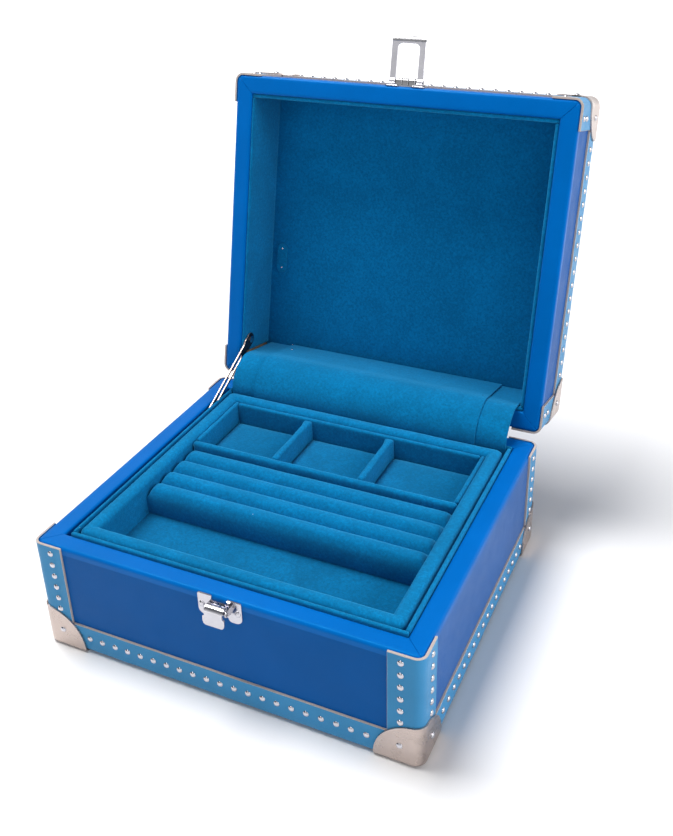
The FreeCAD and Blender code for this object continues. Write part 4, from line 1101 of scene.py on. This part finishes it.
def build_stay():
    """The slotted lid stay, with bright cut edges and faces painted near black as a painted dark
    reflection.
    """
    def arm(a, b, t):
        y = STAY_PIVOT[0] - a * math.cos(STAY_SLOPE) + b * math.sin(STAY_SLOPE)
        z = STAY_PIVOT[1] - a * math.sin(STAY_SLOPE) - b * math.cos(STAY_SLOPE)
        return (STAY_X + t, y, z)

    outline = rounded([(-4.4, -4.4, 4.3), (5.5, -4.4, 2.0), (8.5, -3.0, 2.5), (90.0, -3.0, 2.9),
                       (90.0, 3.0, 2.9), (8.5, 3.0, 2.5), (5.5, 4.4, 2.0), (-4.4, 4.4, 4.3)])
    slot = rounded([(15.0, -1.5, 1.45), (88.0, -1.5, 1.45), (88.0, 1.5, 1.45), (15.0, 1.5, 1.45)])
    # The arm's faces carry the painted dark reflection; its cut edges keep the metal's own colour.
    parts = [plate("lid_stay_arm", outline, STAY_SHEET, arm, [STAY_FACE_PAINTED_REFLECTION, STAY_EDGE], "stay",
                   holes=[circle(0.0, 0.0, 1.66), slot], chamfer=0.10)]

    def nub(a, b, t):
        return arm(a, b, t + STAY_SHEET)

    start, stop, high, low = NUB
    outline = rounded([(start, high, 1.0), (stop, high, 1.0), (stop, low, 1.0), (start, low, 1.0)])
    parts.append(plate("stay_nub", outline, 0.25, nub, [STAY_EDGE], "stay", chamfer=0.08))
    stay = join("lid_stay", parts)
    stand_in(stay, "stay_arm")


def build_tab():
    """The pull tab in the lid, and the pins that hold the tab and the gusset's top cloth."""
    tab_x, tab_y, ceiling = -89.5, 23.0, LID_CEILING

    def under(u, v, t):
        return (tab_x + u, tab_y + v, ceiling - t)

    outline = rounded([(-3.8, -10.0, 3.7), (3.8, -10.0, 3.7), (3.8, 10.0, 3.7), (-3.8, 10.0, 3.7)])
    tab = plate("lid_pull_tab", outline, 1.0, under, [SUEDE], "lid", lid=True, chamfer=0.3)
    stand_in(tab, "lid_tab")
    pins = [((tab_x, tab_y + d, ceiling - 1.0), (0, 0, -1)) for d in (-6.6, 6.6)]
    pins += [((x, 82.6, z), (0, -1, 0)) for x, z in GUSSET_PINS]
    rivet_set("lid_pins", pins, "lid", True, 0.42)


# ---------------------------------------------------------------- carried CAD nodes
def dress(node, material, bevel=0.0, segments=2):
    """A better material, and softened edges, for a CAD node."""
    obj = nodes[node]
    for index in range(max(1, len(obj.material_slots))):
        if obj.material_slots:
            obj.material_slots[index].material = material
        else:
            obj.data.materials.append(material)
    if bevel:
        modifier = obj.modifiers.new("edge", "BEVEL")
        modifier.width = bevel * MM
        modifier.segments = segments
        modifier.limit_method = "ANGLE"
        modifier.angle_limit = math.radians(40)
        modifier.harden_normals = False


def dress_nodes():
    for node in ("base_carcass", "lid_carcass"):
        dress(node, WOOD)
    for node in ("base_cover", "lid_cover"):
        dress(node, BLUE_LID if node == "lid_cover" else BLUE)
    for node in ("base_floor_pad", "tray_rests", "base_underside_pad"):
        dress(node, SUEDE, 0.3)
    for where in CORNERS:
        dress("base_corner_cap_" + where, CAP, 0.2)
        dress("lid_corner_cap_" + where, CAP, 0.2)
    for node in ("hinge_base_leaves", "hinge_lid_leaves", "stay_base_stud", "stay_rivet"):
        dress(node, NICKEL, 0.12)
    for node in ("hinge_pins", "catch_pin", "hasp_pin", "catch_spring"):
        dress(node, STEEL)


# ---------------------------------------------------------------- studio
def lamp(name, location, target, size, power, color=(1, 1, 1)):
    data = bpy.data.lights.new(name, "AREA")
    data.shape = "RECTANGLE"
    data.size, data.size_y = size
    data.energy = power
    data.color = color
    obj = bpy.data.objects.new(name, data)
    bpy.context.scene.collection.objects.link(obj)
    obj.location = location
    obj.rotation_euler = (Vector(target) - Vector(location)).to_track_quat("-Z", "Y").to_euler()
    return obj


def build_floor():
    """A plain pale sweep that glows away from the case, so that it stays white to the horizon."""
    mesh = bpy.data.meshes.new("studio_floor")
    reach = 6.0
    mesh.from_pydata([(-reach, -reach, 0), (reach, -reach, 0), (reach, reach, 0), (-reach, reach, 0)], [],
                     [(0, 1, 2, 3)])
    material = bpy.data.materials.new("floor_paint")
    material.use_nodes = True
    tree = material.node_tree
    paint = tree.nodes["Principled BSDF"]
    paint.inputs["Base Color"].default_value = (0.93, 0.93, 0.93, 1)
    paint.inputs["Roughness"].default_value = 0.9
    paint.inputs["Emission Color"].default_value = (1, 1, 1, 1)
    distance = tree.nodes.new("ShaderNodeVectorMath")
    distance.operation = "LENGTH"
    where = tree.nodes.new("ShaderNodeTexCoord")
    tree.links.new(where.outputs["Object"], distance.inputs[0])
    glow = map_range(tree, distance.outputs["Value"], 0.45, 1.8, 0.0, 1.0)
    tree.links.new(glow, paint.inputs["Emission Strength"])
    mesh.materials.append(material)
    floor = bpy.data.objects.new("studio_floor", mesh)
    floor.location.z = -0.0002
    bpy.context.scene.collection.objects.link(floor)
    return floor


def build_world():
    """Soft white surroundings, dimmer overhead and dark to the upper left, for the metal to reflect."""
    world = bpy.data.worlds.new("studio")
    world.use_nodes = True
    tree = world.node_tree
    direction = tree.nodes.new("ShaderNodeTexCoord").outputs["Generated"]
    split = tree.nodes.new("ShaderNodeSeparateXYZ")
    ramp = tree.nodes.new("ShaderNodeValToRGB")
    tree.links.new(direction, split.inputs["Vector"])
    tree.links.new(split.outputs["Z"], ramp.inputs["Fac"])
    for element, position, color in zip(ramp.color_ramp.elements, (0.02, 0.70),
                                        ((0.98, 0.99, 1.0, 1), (0.30, 0.31, 0.34, 1))):
        element.position = position
        element.color = color
    toward_dark = tree.nodes.new("ShaderNodeVectorMath")
    toward_dark.operation = "DOT_PRODUCT"
    toward_dark.inputs[1].default_value = Vector((-0.85, -0.30, 0.45)).normalized()
    tree.links.new(direction, toward_dark.inputs[0])
    strength = map_range(tree, toward_dark.outputs["Value"], 0.72, 0.92, 1.0, 0.15)
    tree.links.new(ramp.outputs["Color"], tree.nodes["Background"].inputs["Color"])
    tree.links.new(strength, tree.nodes["Background"].inputs["Strength"])
    bpy.context.scene.world = world


def build_studio():
    floor = build_floor()
    build_world()
    bpy.context.scene.view_settings.view_transform = "Standard"
    target = (0, 0.03, 0.05)
    lamp("key_light", (-0.60, 0.05, 1.85), target, (0.9, 0.9), 44.0, (1.0, 0.985, 0.97))
    lamp("front_light", (0.1, -1.7, 1.0), target, (1.4, 0.7), 1.5, (1.0, 0.98, 0.96))
    side = lamp("right_light", (1.6, 0.1, 0.9), target, (1.2, 1.2), 23.0, (0.97, 0.98, 1.0))
    unlit = bpy.data.collections.new("kept_dark_by_right_light")
    unlit.objects.link(floor)
    side.light_linking.receiver_collection = unlit
    unlit.collection_objects[0].light_linking.link_state = "EXCLUDE"


def build_camera():
    data = bpy.data.cameras.new("camera")
    data.sensor_width = 36.0
    data.lens = 43.34
    data.shift_x = 0.0090
    data.shift_y = -0.0757
    data.clip_start, data.clip_end = 0.01, 50.0
    obj = bpy.data.objects.new("camera", data)
    bpy.context.scene.collection.objects.link(obj)
    right = Vector((0.9056, 0.4233, -0.0267)).normalized()
    ahead = Vector((-0.3871, 0.7991, -0.46))
    ahead = (ahead - right * ahead.dot(right)).normalized()
    up = right.cross(ahead)
    turn = Matrix((right, up, -ahead)).transposed().to_4x4()
    obj.matrix_world = Matrix.Translation(Vector((0.22328, -0.41961, 0.40033))) @ turn
    bpy.context.scene.camera = obj


build_camera()
build_rims()
build_strips()
build_trims()
build_rivets()
build_liners()
build_tray()
build_gusset()
build_catch()
build_hasp()
build_stay()
build_tab()
dress_nodes()
build_studio()
